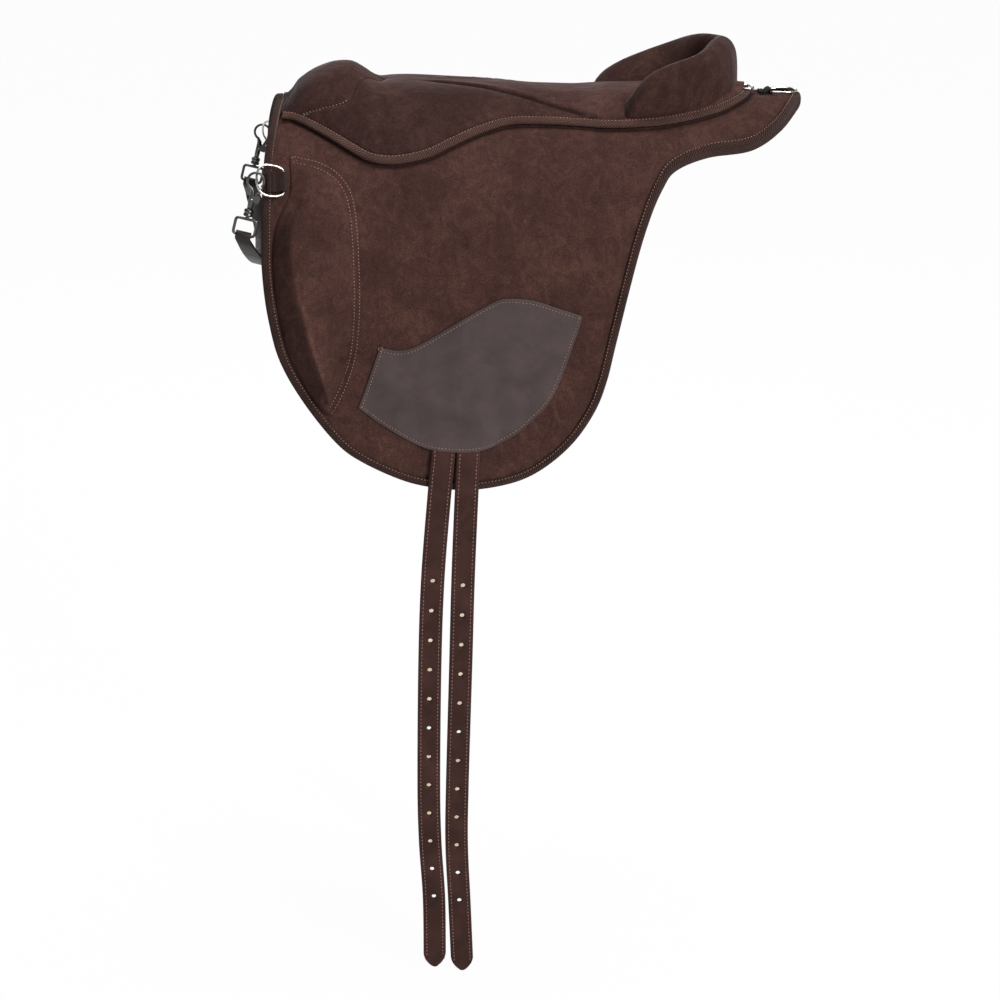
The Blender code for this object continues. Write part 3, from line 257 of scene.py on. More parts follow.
# On the seat, painted shade on its front rim and in its seam, and painted light on its top
SEAT_FRONT_PAINTED_SHADE = 1.1
TWIST_PAINTED_SHADE = (1.1, 0.0018)
SEAT_TOP_PAINTED_LIGHT = 0.9
# On the knee blocks, painted shade in front of the ridge and low on the rear, a painted highlight on the ridge, and
# painted light high on the front
KNEE_FRONT_PAINTED_SHADE = 0.8
KNEE_PAINTED_HIGHLIGHT, KNEE_PAINTED_HIGHLIGHT_OFF = (1.2, 0.035), 0.02
KNEE_TOP_PAINTED_LIGHT = 0.5
KNEE_REAR_PAINTED_SHADE = 0.45

# Camera and stage

CAMERA_SPOT = (-0.2155, -2.5608, 0.4489)
CAMERA_TURN = (math.radians(71), 0, math.radians(-4))
CAMERA_LENS = 86.65
STAGE_MIDDLE = Vector((-0.05, 0, -0.25))
# Name, place, width and watts
LAMPS = [
    ("key", (3.1, -4.5, 2.3), 2.0, 290), ("fill", (-2.1, -1.6, 0.5), 1.6, 2),
    ("top", (0.5, 0.2, 4.2), 2.4, 140), ("back", (-0.4, 2.4, 1.2), 1.6, 22),
]
SKY_GLOW = 0.22
FLOOR_REACH = 30.0
FLOOR_GAP = 0.004
FLOOR_WHITE = 0.97

# Outlines of the patterns, as (x, s): half of the pad in shares of HALF and FLAP_DROP, half of the seat and of the
# pommel's seam in shares of the seat's length and in metres, and the others in metres

PAD_HALF = [
    (-0.945, 0.000), (-0.962, 0.110), (-0.990, 0.245), (-1.003, 0.400), (-1.002, 0.486), (-0.986, 0.580),
    (-0.951, 0.676), (-0.873, 0.774), (-0.761, 0.874), (-0.668, 0.924), (-0.513, 0.974), (-0.380, 0.995),
    (-0.250, 1.000), (-0.102, 0.983), (0.006, 0.948), (0.110, 0.888), (0.187, 0.813), (0.229, 0.740),
    (0.263, 0.643), (0.327, 0.466), (0.377, 0.368), (0.427, 0.303), (0.480, 0.262), (0.600, 0.232),
    (0.766, 0.214), (0.886, 0.155), (0.966, 0.068), (0.994, 0.000),
]
SEAT_WIDTHS = [
    (0.002, 0.0588), (0.016, 0.0596), (0.028, 0.0610), (0.054, 0.0685), (0.100, 0.0837), (0.140, 0.0968),
    (0.178, 0.1076), (0.217, 0.1115), (0.255, 0.1107), (0.307, 0.1050), (0.359, 0.0931), (0.411, 0.0813),
    (0.462, 0.0725), (0.497, 0.0704), (0.565, 0.0716), (0.616, 0.0740), (0.677, 0.0765), (0.742, 0.0759),
    (0.800, 0.0733), (0.872, 0.0648), (0.929, 0.0524), (0.979, 0.0295), (1.000, 0.0000),
]
POMMEL_SEAM = [
    (0.222, 0.000), (0.209, 0.014), (0.183, 0.027), (0.161, 0.042), (0.146, 0.0550), (0.096, 0.0572),
    (0.042, 0.0552),
]
TWIST_SEAM = [
    (-0.125, 0.010), (-0.085, 0.0185), (-0.0255, 0.0345), (0.024, 0.052), (0.046, 0.060), (0.064, 0.0665),
]
KNEE_EDGE = [
    (-0.2590, 0.1030), (-0.2590, 0.1250), (-0.2615, 0.1400), (-0.2680, 0.1520), (-0.2742, 0.1640),
    (-0.2780, 0.1800), (-0.2790, 0.1960), (-0.2788, 0.2140), (-0.2768, 0.2380), (-0.2690, 0.2830),
    (-0.2600, 0.3090), (-0.2460, 0.3360), (-0.2348, 0.3530), (-0.2262, 0.3610), (-0.2190, 0.3560),
    (-0.2060, 0.3300), (-0.1960, 0.3000), (-0.1915, 0.2650), (-0.1900, 0.2280), (-0.1905, 0.1900),
    (-0.1925, 0.1570), (-0.1975, 0.1355), (-0.2090, 0.1195), (-0.2270, 0.1085), (-0.2480, 0.1030),
]
PATCH_EDGE = [
    (-0.1722, 0.2902), (-0.1700, 0.2893), (-0.1520, 0.2928), (-0.1330, 0.2878), (-0.1020, 0.2703),
    (-0.0738, 0.2537), (-0.0500, 0.2413), (-0.0386, 0.2393), (-0.0127, 0.2418), (0.0160, 0.2513),
    (0.0375, 0.2590), (0.0386, 0.2612), (0.0335, 0.2790), (0.0098, 0.3436), (-0.0163, 0.3748),
    (-0.0400, 0.3925), (-0.0680, 0.4030), (-0.1000, 0.4035), (-0.1320, 0.3965), (-0.1676, 0.3752),
    (-0.1935, 0.3548), (-0.1945, 0.3520), (-0.1890, 0.3370),
]

# Profiles: a share of the full height at each share of the length. The knee block's go by metres from the spine,
# and its ridge is a share of the way from its front side to its rear one

SEAT_TOP = [
    (0.00, 0.10), (0.035, 0.55), (0.08, 0.86), (0.14, 0.95), (0.20, 0.90), (0.25, 0.92), (0.42, 0.78),
    (0.56, 0.44), (0.66, 0.31), (0.78, 0.38), (0.90, 0.55), (1.00, 0.55),
]
POMMEL_TOP = [
    (0.018, 0.00), (0.064, 0.53), (0.097, 0.80), (0.118, 0.94), (0.146, 1.00), (0.163, 0.90),
    (0.186, 0.52), (0.205, 0.12), (0.215, 0.00),
]
CANTLE_TOPS = {
    -1: [(0.00, 0.05), (0.058, 0.29), (0.13, 0.55), (0.194, 0.72), (0.32, 0.87), (0.50, 0.95), (0.65, 0.98),
         (1.00, 1.00)],
    1: [(0.00, 0.03), (0.035, 0.13), (0.108, 0.385), (0.25, 0.625), (0.415, 0.80), (0.60, 0.92),
        (0.75, 0.972), (1.00, 1.00)],
}
ARM_SECTION = [
    (0.0, 0.0), (0.012, 0.18), (0.03, 0.40), (0.055, 0.60), (0.09, 0.78), (0.14, 0.90), (0.21, 0.975),
    (0.30, 1.0), (0.40, 0.965), (0.50, 0.86), (0.61, 0.66), (0.73, 0.40), (0.86, 0.15), (1.0, 0.0),
]
BACK_SECTION = [
    (0.0, 0.0), (0.03, 0.21), (0.05, 0.40), (0.075, 0.58), (0.12, 0.73), (0.19, 0.83), (0.29, 0.91),
    (0.43, 0.97), (0.60, 1.0), (0.74, 0.975), (0.86, 0.88), (0.94, 0.68), (0.985, 0.38), (1.0, 0.0),
]
KNEE_RIDGE = [
    (0.10, 0.30), (0.135, 0.28), (0.1525, 0.26), (0.1925, 0.235), (0.2445, 0.33), (0.298, 0.44),
    (0.336, 0.62), (0.36, 0.68),
]
KNEE_HEIGHTS = [
    (0.10, 0.25), (0.14, 0.38), (0.19, 0.80), (0.25, 1.0), (0.32, 1.0), (0.345, 0.85), (0.36, 0.60),
]
# Half of a billet's tip, in shares of its half width and from the start of its point (1) to its end (0)
BILLET_TIP = [(1.0, 1.0), (0.86, 0.62), (0.56, 0.28), (0.16, 0.0)]
# How far a billet strays from a plumb line, at shares of its length
BILLET_LINES = {
    ("left", "front"): [(0.00, 0.000), (0.08, -0.005), (0.23, -0.0125), (0.39, -0.0165), (0.62, -0.019),
                        (0.74, -0.0182), (0.86, -0.0145), (1.00, -0.0145)],
    ("right", "front"): [(0.00, 0.000), (0.08, 0.003), (0.16, 0.0068), (0.23, 0.0076), (0.39, 0.0009),
                         (0.55, -0.0041), (0.70, -0.0064), (0.86, -0.0078), (1.00, -0.0067)],
    ("left", "rear"): [(0.00, 0.000), (0.08, -0.0025), (0.23, -0.0065), (0.39, -0.0095), (0.62, -0.0140),
                       (0.74, -0.0152), (0.86, -0.0125), (1.00, -0.0095)],
    ("right", "rear"): [(0.00, 0.000), (0.08, 0.0065), (0.16, 0.0125), (0.23, 0.0144), (0.39, 0.0106),
                        (0.55, 0.0075), (0.70, 0.0045), (0.86, 0.0006), (1.00, -0.0010)],
}
HANDLE_FALL = [(0.000, 0.000), (0.036, 0.192), (0.175, 0.510), (0.378, 0.769), (0.640, 0.933), (1.000, 1.000)]
# Sections of the tapes, as (depth inside the outline, height): the pad's over the lining, the seat's over the pad
PAD_TAPE = [
    (0.0100, BINDING_TOP - 0.0009), (0.0094, BINDING_TOP - 0.0001), (0.0080, BINDING_TOP + 0.0002),
    (0.0060, BINDING_TOP + 0.0003), (0.0040, BINDING_TOP + 0.0001), (0.0022, BINDING_TOP - 0.0008),
    (0.0009, BINDING_TOP - 0.0028), (0.0002, BINDING_TOP - 0.0058), (0.0, 0.0135), (0.0003, 0.0108),
    (0.0012, 0.0087), (0.0030, 0.0074), (0.0055, 0.0070), (0.0080, 0.0070), (0.0098, 0.0072),
    (0.0100, 0.0082), (0.0060, 0.0083), (0.0038, 0.0087), (0.0022, 0.0100), (0.0014, 0.0128),
    (0.0020, 0.0165), (0.0036, 0.0190), (0.0060, 0.0200), (0.0100, 0.0200),
]
PAD_TAPE_STITCHES = [(0.0086, BINDING_TOP + 0.0001), (0.0086, 0.0069)]
SEAT_TAPE = [
    (0.0082, 0.0002), (0.0084, 0.0030), (0.0078, 0.0043), (0.0062, 0.0049), (0.0042, 0.0051),
    (0.0024, 0.0049), (0.0009, 0.0041), (0.0001, 0.0029), (0.0004, 0.0014), (0.0022, 0.0002),
]
SEAT_TAPE_STITCHES = (0.0067, 0.0050)


def linear(code):
    """An sRGB hex colour as linear red, green and blue."""
    parts = [int(code[i:i + 2], 16) / 255 for i in (1, 3, 5)]
    return tuple(v / 12.92 if v <= 0.04045 else ((v + 0.055) / 1.055) ** 2.4 for v in parts)


# Settings that a user would change

def size(name, description, default, low, high):
    return FloatProperty(name=name, description=description, default=default, min=low, max=high,
                         unit="LENGTH", precision=5)


def colour(name, description, code):
    return FloatVectorProperty(name=name, description=description, default=linear(code), min=0, max=1,
                               subtype="COLOR")


class PadSewing(bpy.types.PropertyGroup):
    stitch_pitch: size("Stitch pitch", "From one stitch to the next", 0.0036, 0.002, 0.01)
    stitch_length: size("Stitch length", "Thread that shows of one stitch", 0.0018, 0.001, 0.008)
    thread_width: size("Thread width", "Thickness of the thread", 0.0011, 0.0004, 0.002)
    rib_pitch: size("Rib pitch", "From one rib of the binding tape to the next", 0.0032, 0.001, 0.005)
    seam_depth: size("Seam depth", "How far a sewn seam draws the padding in", 0.0024, 0.0, 0.006)
    puff: size("Puff", "The most that a cushion may swell from its pattern", 0.0035, 0.0, 0.016)


class PadStraps(bpy.types.PropertyGroup):
    holes: IntProperty(name="Holes", description="Punched holes in each billet", default=12, min=1, max=16)
    hole_diameter: size("Hole diameter", "Punched holes in the billets", 0.0052, 0.003, 0.008)
    stitch_inset: size("Stitch inset", "From a billet's edge to its stitches", 0.0036, 0.002, 0.006)
    stitch_pitch: size("Stitch pitch", "From one stitch of a billet to the next", 0.0042, 0.002, 0.01)
    stitch_length: size("Stitch length", "Thread that shows of one stitch", 0.0026, 0.001, 0.008)


class PadColours(bpy.types.PropertyGroup):
    suede: colour("Suede", "The suede's middle colour", "#422C28")
    suede_dark: colour("Suede, rubbed", "Where the nap lies flat", "#35231F")
    suede_light: colour("Suede, brushed", "Where the nap stands up", "#533931")
    seat: colour("Seat suede", "The middle colour of the seat, pommel and cantle", "#382522")
    seat_dark: colour("Seat suede, rubbed", "Where its nap lies flat", "#2C1C1A")
    seat_light: colour("Seat suede, brushed", "Where its nap stands up", "#4B342F")
    patch: colour("Wear patch", "The smooth leather of the patches", "#453A39")
    tape: colour("Pad's tape", "The ribbed tape round the pad", "#3F2A25")
    seat_tape: colour("Seat's tape", "The ribbed tape round the seat", "#543A33")
    strap: colour("Billet leather", "The leather of the billets", "#39231F")
    handle: colour("Handle leather", "The leather of the grab handle", "#1E1311")
    flesh: colour("Flesh side", "The undyed inner side of the billets", "#D8C6AE")
    webbing: colour("Webbing", "The nylon loops at the tail and the cantle", "#2B2321")
    thread: colour("Thread", "The stitching", "#8C6C60")


# Laying a flat pattern over the back

def back_curve():
    """The back in steps of half a millimetre: distance from the spine, y, z and how far it has turned."""
    s = np.arange(0.0, 0.52, 0.0005)
    share = np.clip((s - SPINE_STRIP) / BACK_CURVE, 0, 1)
    turn = math.pi / 2 * (1 - (1 - share) ** BEND_POWER)
    step = np.diff(s)
    y = np.concatenate([[0], np.cumsum(step * np.cos((turn[1:] + turn[:-1]) / 2))])
    z = -np.concatenate([[0], np.cumsum(step * np.sin((turn[1:] + turn[:-1]) / 2))])
    return s, y, z, turn


BACK = back_curve()


def lay(x, s, h):
    """World places of flat points at height h."""
    away = np.abs(s)
    side = np.where(s < 0, -1.0, 1.0)
    y, z, turn = (np.interp(away, BACK[0], column) for column in BACK[1:])
    return np.stack([np.broadcast_to(x, away.shape), side * (y + h * np.sin(turn)), z + h * np.cos(turn)], axis=-1)


# Lines and flat nets

def eased(share):
    """From 0 to 1 without a corner at either end."""
    share = np.clip(share, 0, 1)
    return share**2 * (3 - 2 * share)


def hill(away, height, width):
    """The height on a line, falling off to nothing about two widths away from it."""
    return height * np.exp(-(away / width) ** 2)


def smooth(points, steps=8, closed=False):
    """Points along a curve through the given ones."""
    points = np.array(points, float)
    count = len(points)
    made = []
    for i in range(count if closed else count - 1):
        ends = [i - 1, i, i + 1, i + 2]
        ends = [j % count for j in ends] if closed else [min(max(j, 0), count - 1) for j in ends]
        a, b, c, d = points[ends]
        for t in np.arange(steps) / steps:
            made.append(0.5 * (2 * b + (c - a) * t + (2 * a - 5 * b + 4 * c - d) * t**2
                               + (3 * b - a - 3 * c + d) * t**3))
    if not closed:
        made.append(points[-1])
    return np.array(made)


def along(table, place):
    """A smooth value read from a table of (place, value)."""
    line = smooth(table, 12)
    return np.interp(place, line[:, 0], line[:, 1])


def both_sides(half):
    """A closed outline from a half one that starts and ends on the spine."""
    half = np.array(half)
    return np.concatenate([half * [1, -1], half[-2:0:-1]])


def mirrored(outline, side):
    """An outline drawn for the right side, as it is for the given side."""
    return np.array(outline) * [1, side]


def lengths(line):
    """How far along a line each of its points is."""
    return np.concatenate([[0], np.cumsum(np.linalg.norm(np.diff(line, axis=0), axis=1))])


def resample(line, pitch=LINE_STEP, closed=False):
    """Evenly spaced points along a line, near the pitch apart."""
    line = np.array(line, float)
    if closed:
        line = np.concatenate([line, line[:1]])
    run = lengths(line)
    count = max(2, round(run[-1] / pitch) + 1)
    places = np.linspace(0, run[-1], count)
    made = np.stack([np.interp(places, run, column) for column in line.T], axis=1)
    return made[:-1] if closed else made


def normals_in(outline):
    """Unit vectors from each point of a closed outline to its inside."""
    run = np.roll(outline, -1, 0) - np.roll(outline, 1, 0)
    run /= np.linalg.norm(run, axis=1)[:, None]
    following = np.roll(outline, -1, 0)
    area = np.sum(outline[:, 0] * following[:, 1] - following[:, 0] * outline[:, 1])
    return np.stack([-run[:, 1], run[:, 0]], axis=1) * np.sign(area)


def depth_in(points, line, closed=True):
    """How far each point is from a line."""
    starts = line if closed else line[:-1]
    runs = (np.roll(line, -1, 0) if closed else line[1:]) - starts
    square = np.maximum(np.sum(runs**2, axis=1), 1e-18)
    nearest = np.full(len(points), 1.0)
    at_once = 2000
    for first in range(0, len(points), at_once):
        away = points[first:first + at_once, None, :] - starts[None]
        share = np.clip(np.sum(away * runs[None], axis=2) / square, 0, 1)
        gap = np.linalg.norm(away - share[..., None] * runs[None], axis=2)
        nearest[first:first + at_once] = gap.min(axis=1)
    return nearest


def inside(points, outline):
    """Whether each point is inside a closed outline."""
    a, b = outline, np.roll(outline, -1, 0)
    found = np.zeros(len(points), bool)
    for (ax, ay), (bx, by) in zip(a, b):
        crosses = (ay > points[:, 1]) != (by > points[:, 1])
        with np.errstate(divide="ignore", invalid="ignore"):
            found ^= crosses & (points[:, 0] < ax + (bx - ax) * (points[:, 1] - ay) / (by - ay))
    return found


def inset(outline, distance):
    """A closed outline moved inwards, without the points that would cross."""
    moved = outline + normals_in(outline) * distance
    return moved[depth_in(moved, outline) > 0.93 * abs(distance)]


def open_run(points, keep):
    """The kept points of a closed line, in order, as one open line."""
    first = int(np.argmax(keep & ~np.roll(keep, 1)))
    return np.roll(points, -first, 0)[np.roll(keep, -first)]


def net(outline, pitch, rows=(), holes=(), lines=()):
    """Flat points and triangles inside an outline, with closer points along its edge and along the given lines."""
    edge = resample(outline, pitch, closed=True)
    rings = [edge, *holes]
    loose = [inset(edge, depth) for depth in rows]
    clear = max(rows, default=0.0) + 0.6 * pitch
    low, high = edge.min(0), edge.max(0)
    columns = np.arange(low[0], high[0], pitch)
    # Every other row is set off by half a step, so the triangles come out nearly even
    levels = np.arange(low[1], high[1], pitch * 0.87)
    grid = np.array([(x + (k % 2) * pitch / 2, s) for k, s in enumerate(levels) for x in columns])
    grid = grid[inside(grid, edge)]
    grid = grid[depth_in(grid, edge) > clear]
    for hole in holes:
        middle = hole.mean(0)
        grid = grid[np.linalg.norm(grid - middle, axis=1) > np.linalg.norm(hole[0] - middle) + 0.5 * pitch]
    for line in lines:
        run = np.gradient(line, axis=0)
        side = np.stack([-run[:, 1], run[:, 0]], axis=1) / np.linalg.norm(run, axis=1)[:, None]
        rails = np.concatenate([line + side * step * SEAM_STEP for step in (-2, -1, 0, 1, 2)])
        rails = rails[inside(rails, edge)]
        loose.append(rails[depth_in(rails, edge) > clear])
        grid = grid[depth_in(grid, line, closed=False) > 2.8 * SEAM_STEP]
    points = np.concatenate([*rings, *loose, grid])
    faces, first = [], 0
    for ring in rings:
        faces.append(list(range(first, first + len(ring))))
        first += len(ring)
    found = delaunay_2d_cdt([Vector(p) for p in points], [], faces, 1, 1e-8)
    places = np.array([tuple(p) for p in found[0]])
    triangles = np.array(found[2])
    for hole in holes:
        middle = hole.mean(0)
        away = np.linalg.norm(places[triangles].mean(1) - middle, axis=1)
        triangles = triangles[away > np.linalg.norm(hole[0] - middle) * 0.9]
    return places, triangles


def ripple(places, height, length, seed):
    """A soft random height, up or down, that changes over the given length."""
    return height * np.array([noise.noise(Vector((x / length, s / length, seed))) for x, s in places])


# Making mesh objects

def linked(name, data):
    """A new object in the scene."""
    made = bpy.data.objects.new(name, data)
    bpy.context.scene.collection.objects.link(made)
    return made


def finished(name, mesh, material):
    """A new object of a mesh with one material."""
    mesh.materials.clear()
    mesh.materials.append(material)
    return linked(name, mesh)


@contextmanager
def editing(mesh):
    """A bmesh of a mesh, written back to it at the end."""
    work = bmesh.new()
    work.from_mesh(mesh)
    yield work
    work.to_mesh(mesh)
    work.free()


def plain_mesh(helper):
    """The evaluated shape of an object, as a mesh of its own."""
    bpy.context.view_layer.update()
    graph = bpy.context.evaluated_depsgraph_get()
    return bpy.data.meshes.new_from_object(helper.evaluated_get(graph))


def new_object(name, verts, faces, material, soft=True):
    """A mesh object at the origin, closed and facing outwards."""
    mesh = bpy.data.meshes.new(name)
    mesh.from_pydata([tuple(v) for v in verts], [], [tuple(int(i) for i in f) for f in faces])
    with editing(mesh) as work:
        bmesh.ops.recalc_face_normals(work, faces=work.faces[:])
    if soft:
        mesh.shade_smooth()
    return finished(name, mesh, material)


def quilt(name, places, triangles, top, bottom, material, to_world=lay):
    """A closed piece from a flat net: top and bottom are the heights of its two faces."""
    count = len(places)
    x, s = places[:, 0], places[:, 1]
    verts = np.concatenate([to_world(x, s, top), to_world(x, s, bottom)])
    edges = np.concatenate([triangles[:, [0, 1]], triangles[:, [1, 2]], triangles[:, [2, 0]]])
    keys = np.sort(edges, axis=1)
    _, first, copies = np.unique(keys, axis=0, return_index=True, return_counts=True)
    rim = edges[first[copies == 1]]
    faces = [tuple(t) for t in triangles] + [tuple(t[::-1] + count) for t in triangles]
    faces += [(b, a, a + count, b + count) for a, b in rim]
    return new_object(name, verts, faces, material)


def keep_painted_shading(piece, values):
    """Keeps the painted shade and painted light of a quilt's upper side as a point attribute, for its material."""
    layer = piece.data.attributes.new("lie", "FLOAT", "POINT")
    layer.data.foreach_set("value", np.concatenate([values, np.zeros(len(values))]).astype(np.float32))


def loft(name, sections, material, closed=False):
    """A skin over closed sections, with its ends filled unless they meet. Its UV is metres along and across."""
    sections = np.array(sections)
    rows, columns = sections.shape[:2]
    faces = []
    for r in range(rows if closed else rows - 1):
        n = (r + 1) % rows
        for c in range(columns):
            d = (c + 1) % columns
            faces.append((r * columns + c, r * columns + d, n * columns + d, n * columns + c))
    if not closed:
        faces += [tuple(range(columns)), tuple(range((rows - 1) * columns, rows * columns))]
    made = new_object(name, sections.reshape(-1, 3), faces, material)
    middle, first = sections.mean(1), sections[0]
    u, v = lengths(middle), lengths(first)
    last_u = u[-1] + np.linalg.norm(middle[0] - middle[-1])
    last_v = v[-1] + np.linalg.norm(first[0] - first[-1])
    layer = made.data.uv_layers.new(name="UVMap")
    for polygon in made.data.polygons:
        spots = [divmod(made.data.loops[i].vertex_index, columns) for i in polygon.loop_indices]
        ends_u = closed and {0, rows - 1} <= {r for r, _ in spots}
        ends_v = {0, columns - 1} <= {c for _, c in spots} and len(spots) == 4
        for i, (r, c) in zip(polygon.loop_indices, spots):
            layer.data[i].uv = (last_u if ends_u and r == 0 else u[r], last_v if ends_v and c == 0 else v[c])
    return made


def band(name, outline, profile, material, keep=None):
    """A tape sewn along a closed outline, or along the part of it that keep() picks. The profile is its
    section, as (depth inside the outline, height)."""
    line = resample(outline, TAPE_STEP, closed=True)
    way = normals_in(line)
    if keep:
        both = open_run(np.hstack([line, way]), keep(line))
        line, way = both[:, :2], both[:, 2:]
    sections = []
    for depth, height in profile:
        flat = line + way * depth
        sections.append(lay(flat[:, 0], flat[:, 1], np.full(len(flat), height)))
    return loft(name, np.swapaxes(np.array(sections), 0, 1), material, closed=keep is None)


def rounded_section(width, thick, corner=0.0006, steps=3):
    """A rounded rectangle, as (across, up)."""
    corner = min(corner, thick / 2 * 0.98)
    made = []
    for cx, cy, first in ((1, 1, 0), (-1, 1, 90), (-1, -1, 180), (1, -1, 270)):
        for k in range(steps + 1):
            angle = math.radians(first + 90 * k / steps)
            made.append((cx * (width / 2 - corner) + corner * math.cos(angle),
                         cy * (thick / 2 - corner) + corner * math.sin(angle)))
    return made


def ribbon(name, path, widths, thicks, matrix, material):
    """A flat strap whose centre line is drawn in the local xz plane, with its width along y."""
    path = np.array(path, float)
    run = np.gradient(path, axis=0)
    run /= np.linalg.norm(run, axis=1)[:, None]
    sections = []
    for k, (x, z) in enumerate(path):
        up = Vector((-run[k][1], 0, run[k][0]))
        section = rounded_section(widths[k], thicks[k])
        sections.append([matrix @ (Vector((x, 0, z)) + Vector((0, a, 0)) + up * t) for a, t in section])
    return loft(name, sections, material)


def wire(name, points, radius, matrix, material, closed=False, radii=None):
    """A round wire through the points. The radii are shares of the radius."""
    curve = bpy.data.curves.new(name, "CURVE")
    curve.dimensions = "3D"
    curve.bevel_depth = radius
    curve.bevel_resolution = 4
    curve.use_fill_caps = True
    spline = curve.splines.new("POLY")
    spline.points.add(len(points) - 1)
    for k, spot in enumerate(points):
        spline.points[k].co = (*(matrix @ Vector(spot)), 1)
        spline.points[k].radius = radii[k] if radii is not None else 1.0
    spline.use_cyclic_u = closed
    helper = linked(name, curve)
    mesh = plain_mesh(helper)
    bpy.data.objects.remove(helper, do_unlink=True)
    with editing(mesh) as work:
        bmesh.ops.remove_doubles(work, verts=work.verts[:], dist=1e-6)
        bmesh.ops.recalc_face_normals(work, faces=work.faces[:])
    mesh.shade_smooth()
    return finished(name, mesh, material)


def turned(name, profile, matrix, material, sides=24):
    """A body turned round the local z axis from (radius, height) pairs."""
    sections = []
    for radius, height in profile:
        sections.append([matrix @ Vector((radius * math.cos(a), radius * math.sin(a), height))
                         for a in np.arange(sides) * math.tau / sides])
    return loft(name, sections, material)


def joined(name, pieces):
    """Several pieces of one material as one."""
    work = bmesh.new()
    for piece in pieces:
        work.from_mesh(piece.data)
    mesh = bpy.data.meshes.new(name)
    work.to_mesh(mesh)
    work.free()
    material = pieces[0].data.materials[0]
    for piece in pieces:
        bpy.data.objects.remove(piece, do_unlink=True)
    return finished(name, mesh, material)


def copied(node_name, material):
    """A piece with a CAD node's shape, merged and a little rounded at its edges."""
    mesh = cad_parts[node_name].data.copy()
    with editing(mesh) as work:
        bmesh.ops.remove_doubles(work, verts=work.verts[:], dist=1e-6)
        sharp = [edge for edge in work.edges if edge.calc_face_angle(0) > SHARP_EDGE]
        bmesh.ops.bevel(work, geom=sharp, offset=EDGE_BEVEL, segments=2, affect="EDGES", profile=0.5)
        bmesh.ops.recalc_face_normals(work, faces=work.faces[:])
    return finished(f"{node_name}_part", mesh, material)


def place(piece, body, slot, *nodes):
    """Makes a piece ride on its body in place of its CAD nodes."""
    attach(piece, body)
    if nodes:
        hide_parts(*nodes)


def puffed(piece, pinned, cap):
    """Lets a cushion swell under pressure like cloth, with its pinned points held and its moves capped."""
    if not cap:
        return
    mesh = piece.data
    rest = np.array([v.co for v in mesh.vertices])
    holder = piece.vertex_groups.new(name="held")
    for index, weight in enumerate(pinned):
        if weight > 0:
            holder.add([index], float(weight), "REPLACE")
    cloth = piece.modifiers.new("puff", "CLOTH")
    for name, value in (("use_pressure", True), ("uniform_pressure_force", PUFF_PRESSURE),
                        ("vertex_group_mass", "held"), ("quality", 4), ("tension_stiffness", 12),
                        ("bending_stiffness", 0.4), ("shrink_min", -0.02)):
        setattr(cloth.settings, name, value)
    cloth.settings.effector_weights.gravity = 0.0
    cloth.collision_settings.use_collision = False
    cloth.point_cache.frame_start, cloth.point_cache.frame_end = 1, PUFF_FRAMES
    for number in range(1, PUFF_FRAMES + 1):
        bpy.context.scene.frame_set(number)
    swollen = plain_mesh(piece)
    moved = np.array([v.co for v in swollen.vertices]) - rest
    bpy.data.meshes.remove(swollen)
    piece.modifiers.remove(cloth)
    piece.vertex_groups.remove(holder)
    bpy.context.scene.frame_set(1)
    # The cloth crumples finely, and real stuffing doesn't: each point's move is shared with its neighbours'
    ends = np.array([edge.vertices[:] for edge in mesh.edges])
    joins = np.bincount(ends.ravel(), minlength=len(moved))[:, None]
    for _ in range(PUFF_CALMING):
        beside = np.zeros_like(moved)
        np.add.at(beside, ends[:, 0], moved[ends[:, 1]])
        np.add.at(beside, ends[:, 1], moved[ends[:, 0]])
        moved = 0.4 * moved + 0.6 * beside / joins
    reach = np.linalg.norm(moved, axis=1)
    moved *= (cap * np.tanh(reach / cap) / np.maximum(reach, 1e-9))[:, None]
    moved *= (1 - np.asarray(pinned))[:, None]
    mesh.vertices.foreach_set("co", (rest + moved).astype(np.float32).ravel())
    mesh.update()


# Outlines that several pieces share

PAD_OUTLINE = both_sides(smooth([(x * HALF, s * FLAP_DROP) for x, s in PAD_HALF]))
PAD_INNER = inset(resample(PAD_OUTLINE, closed=True), BINDING_WIDTH + GAP)
SEAT_SIDE = smooth([(SEAT_FRONT + x * SEAT_LENGTH, s) for x, s in SEAT_WIDTHS])


def front_line(width):
    """The inner edge of the pad's binding in front of the seat, from the spine outwards."""
    line = PAD_INNER[(PAD_INNER[:, 0] < SEAT_FRONT / 2) & (PAD_INNER[:, 1] > 0) & (PAD_INNER[:, 1] < width)]
    line = line[np.argsort(line[:, 1])]
    return np.concatenate([[(line[0, 0], 0.0)], line])


SEAT_OUTLINE = both_sides(np.concatenate([front_line(SEAT_SIDE[0, 1] - 0.001), SEAT_SIDE]))
SEAT_EDGE = resample(SEAT_OUTLINE, closed=True)
SEAT_INNER = inset(SEAT_EDGE, SEAT_BINDING_WIDTH - 0.0004)
SEAT_CORNER = SEAT_SIDE[0, 1] - SEAT_BINDING_WIDTH
SEAM = smooth([(SEAT_FRONT + x * SEAT_LENGTH, s) for x, s in POMMEL_SEAM])
TWIST = smooth(TWIST_SEAM)
CANTLE_BACK = SEAT_FRONT + SEAT_LENGTH - SEAT_BINDING_WIDTH - GAP - CANTLE_SET_IN
KNEE_OUTLINE = smooth(KNEE_EDGE, closed=True)


def seat_side_line():
    """The inner edge of the seat's binding on one side, from front to back."""
    inner = SEAT_INNER[(SEAT_INNER[:, 1] > 0.0005)
                       & ((SEAT_INNER[:, 0] > SEAM[-1, 0]) | (SEAT_INNER[:, 1] > SEAT_CORNER - 0.001))]
    return inner[np.argsort(inner[:, 0])]


SEAT_INNER_SIDE = seat_side_line()


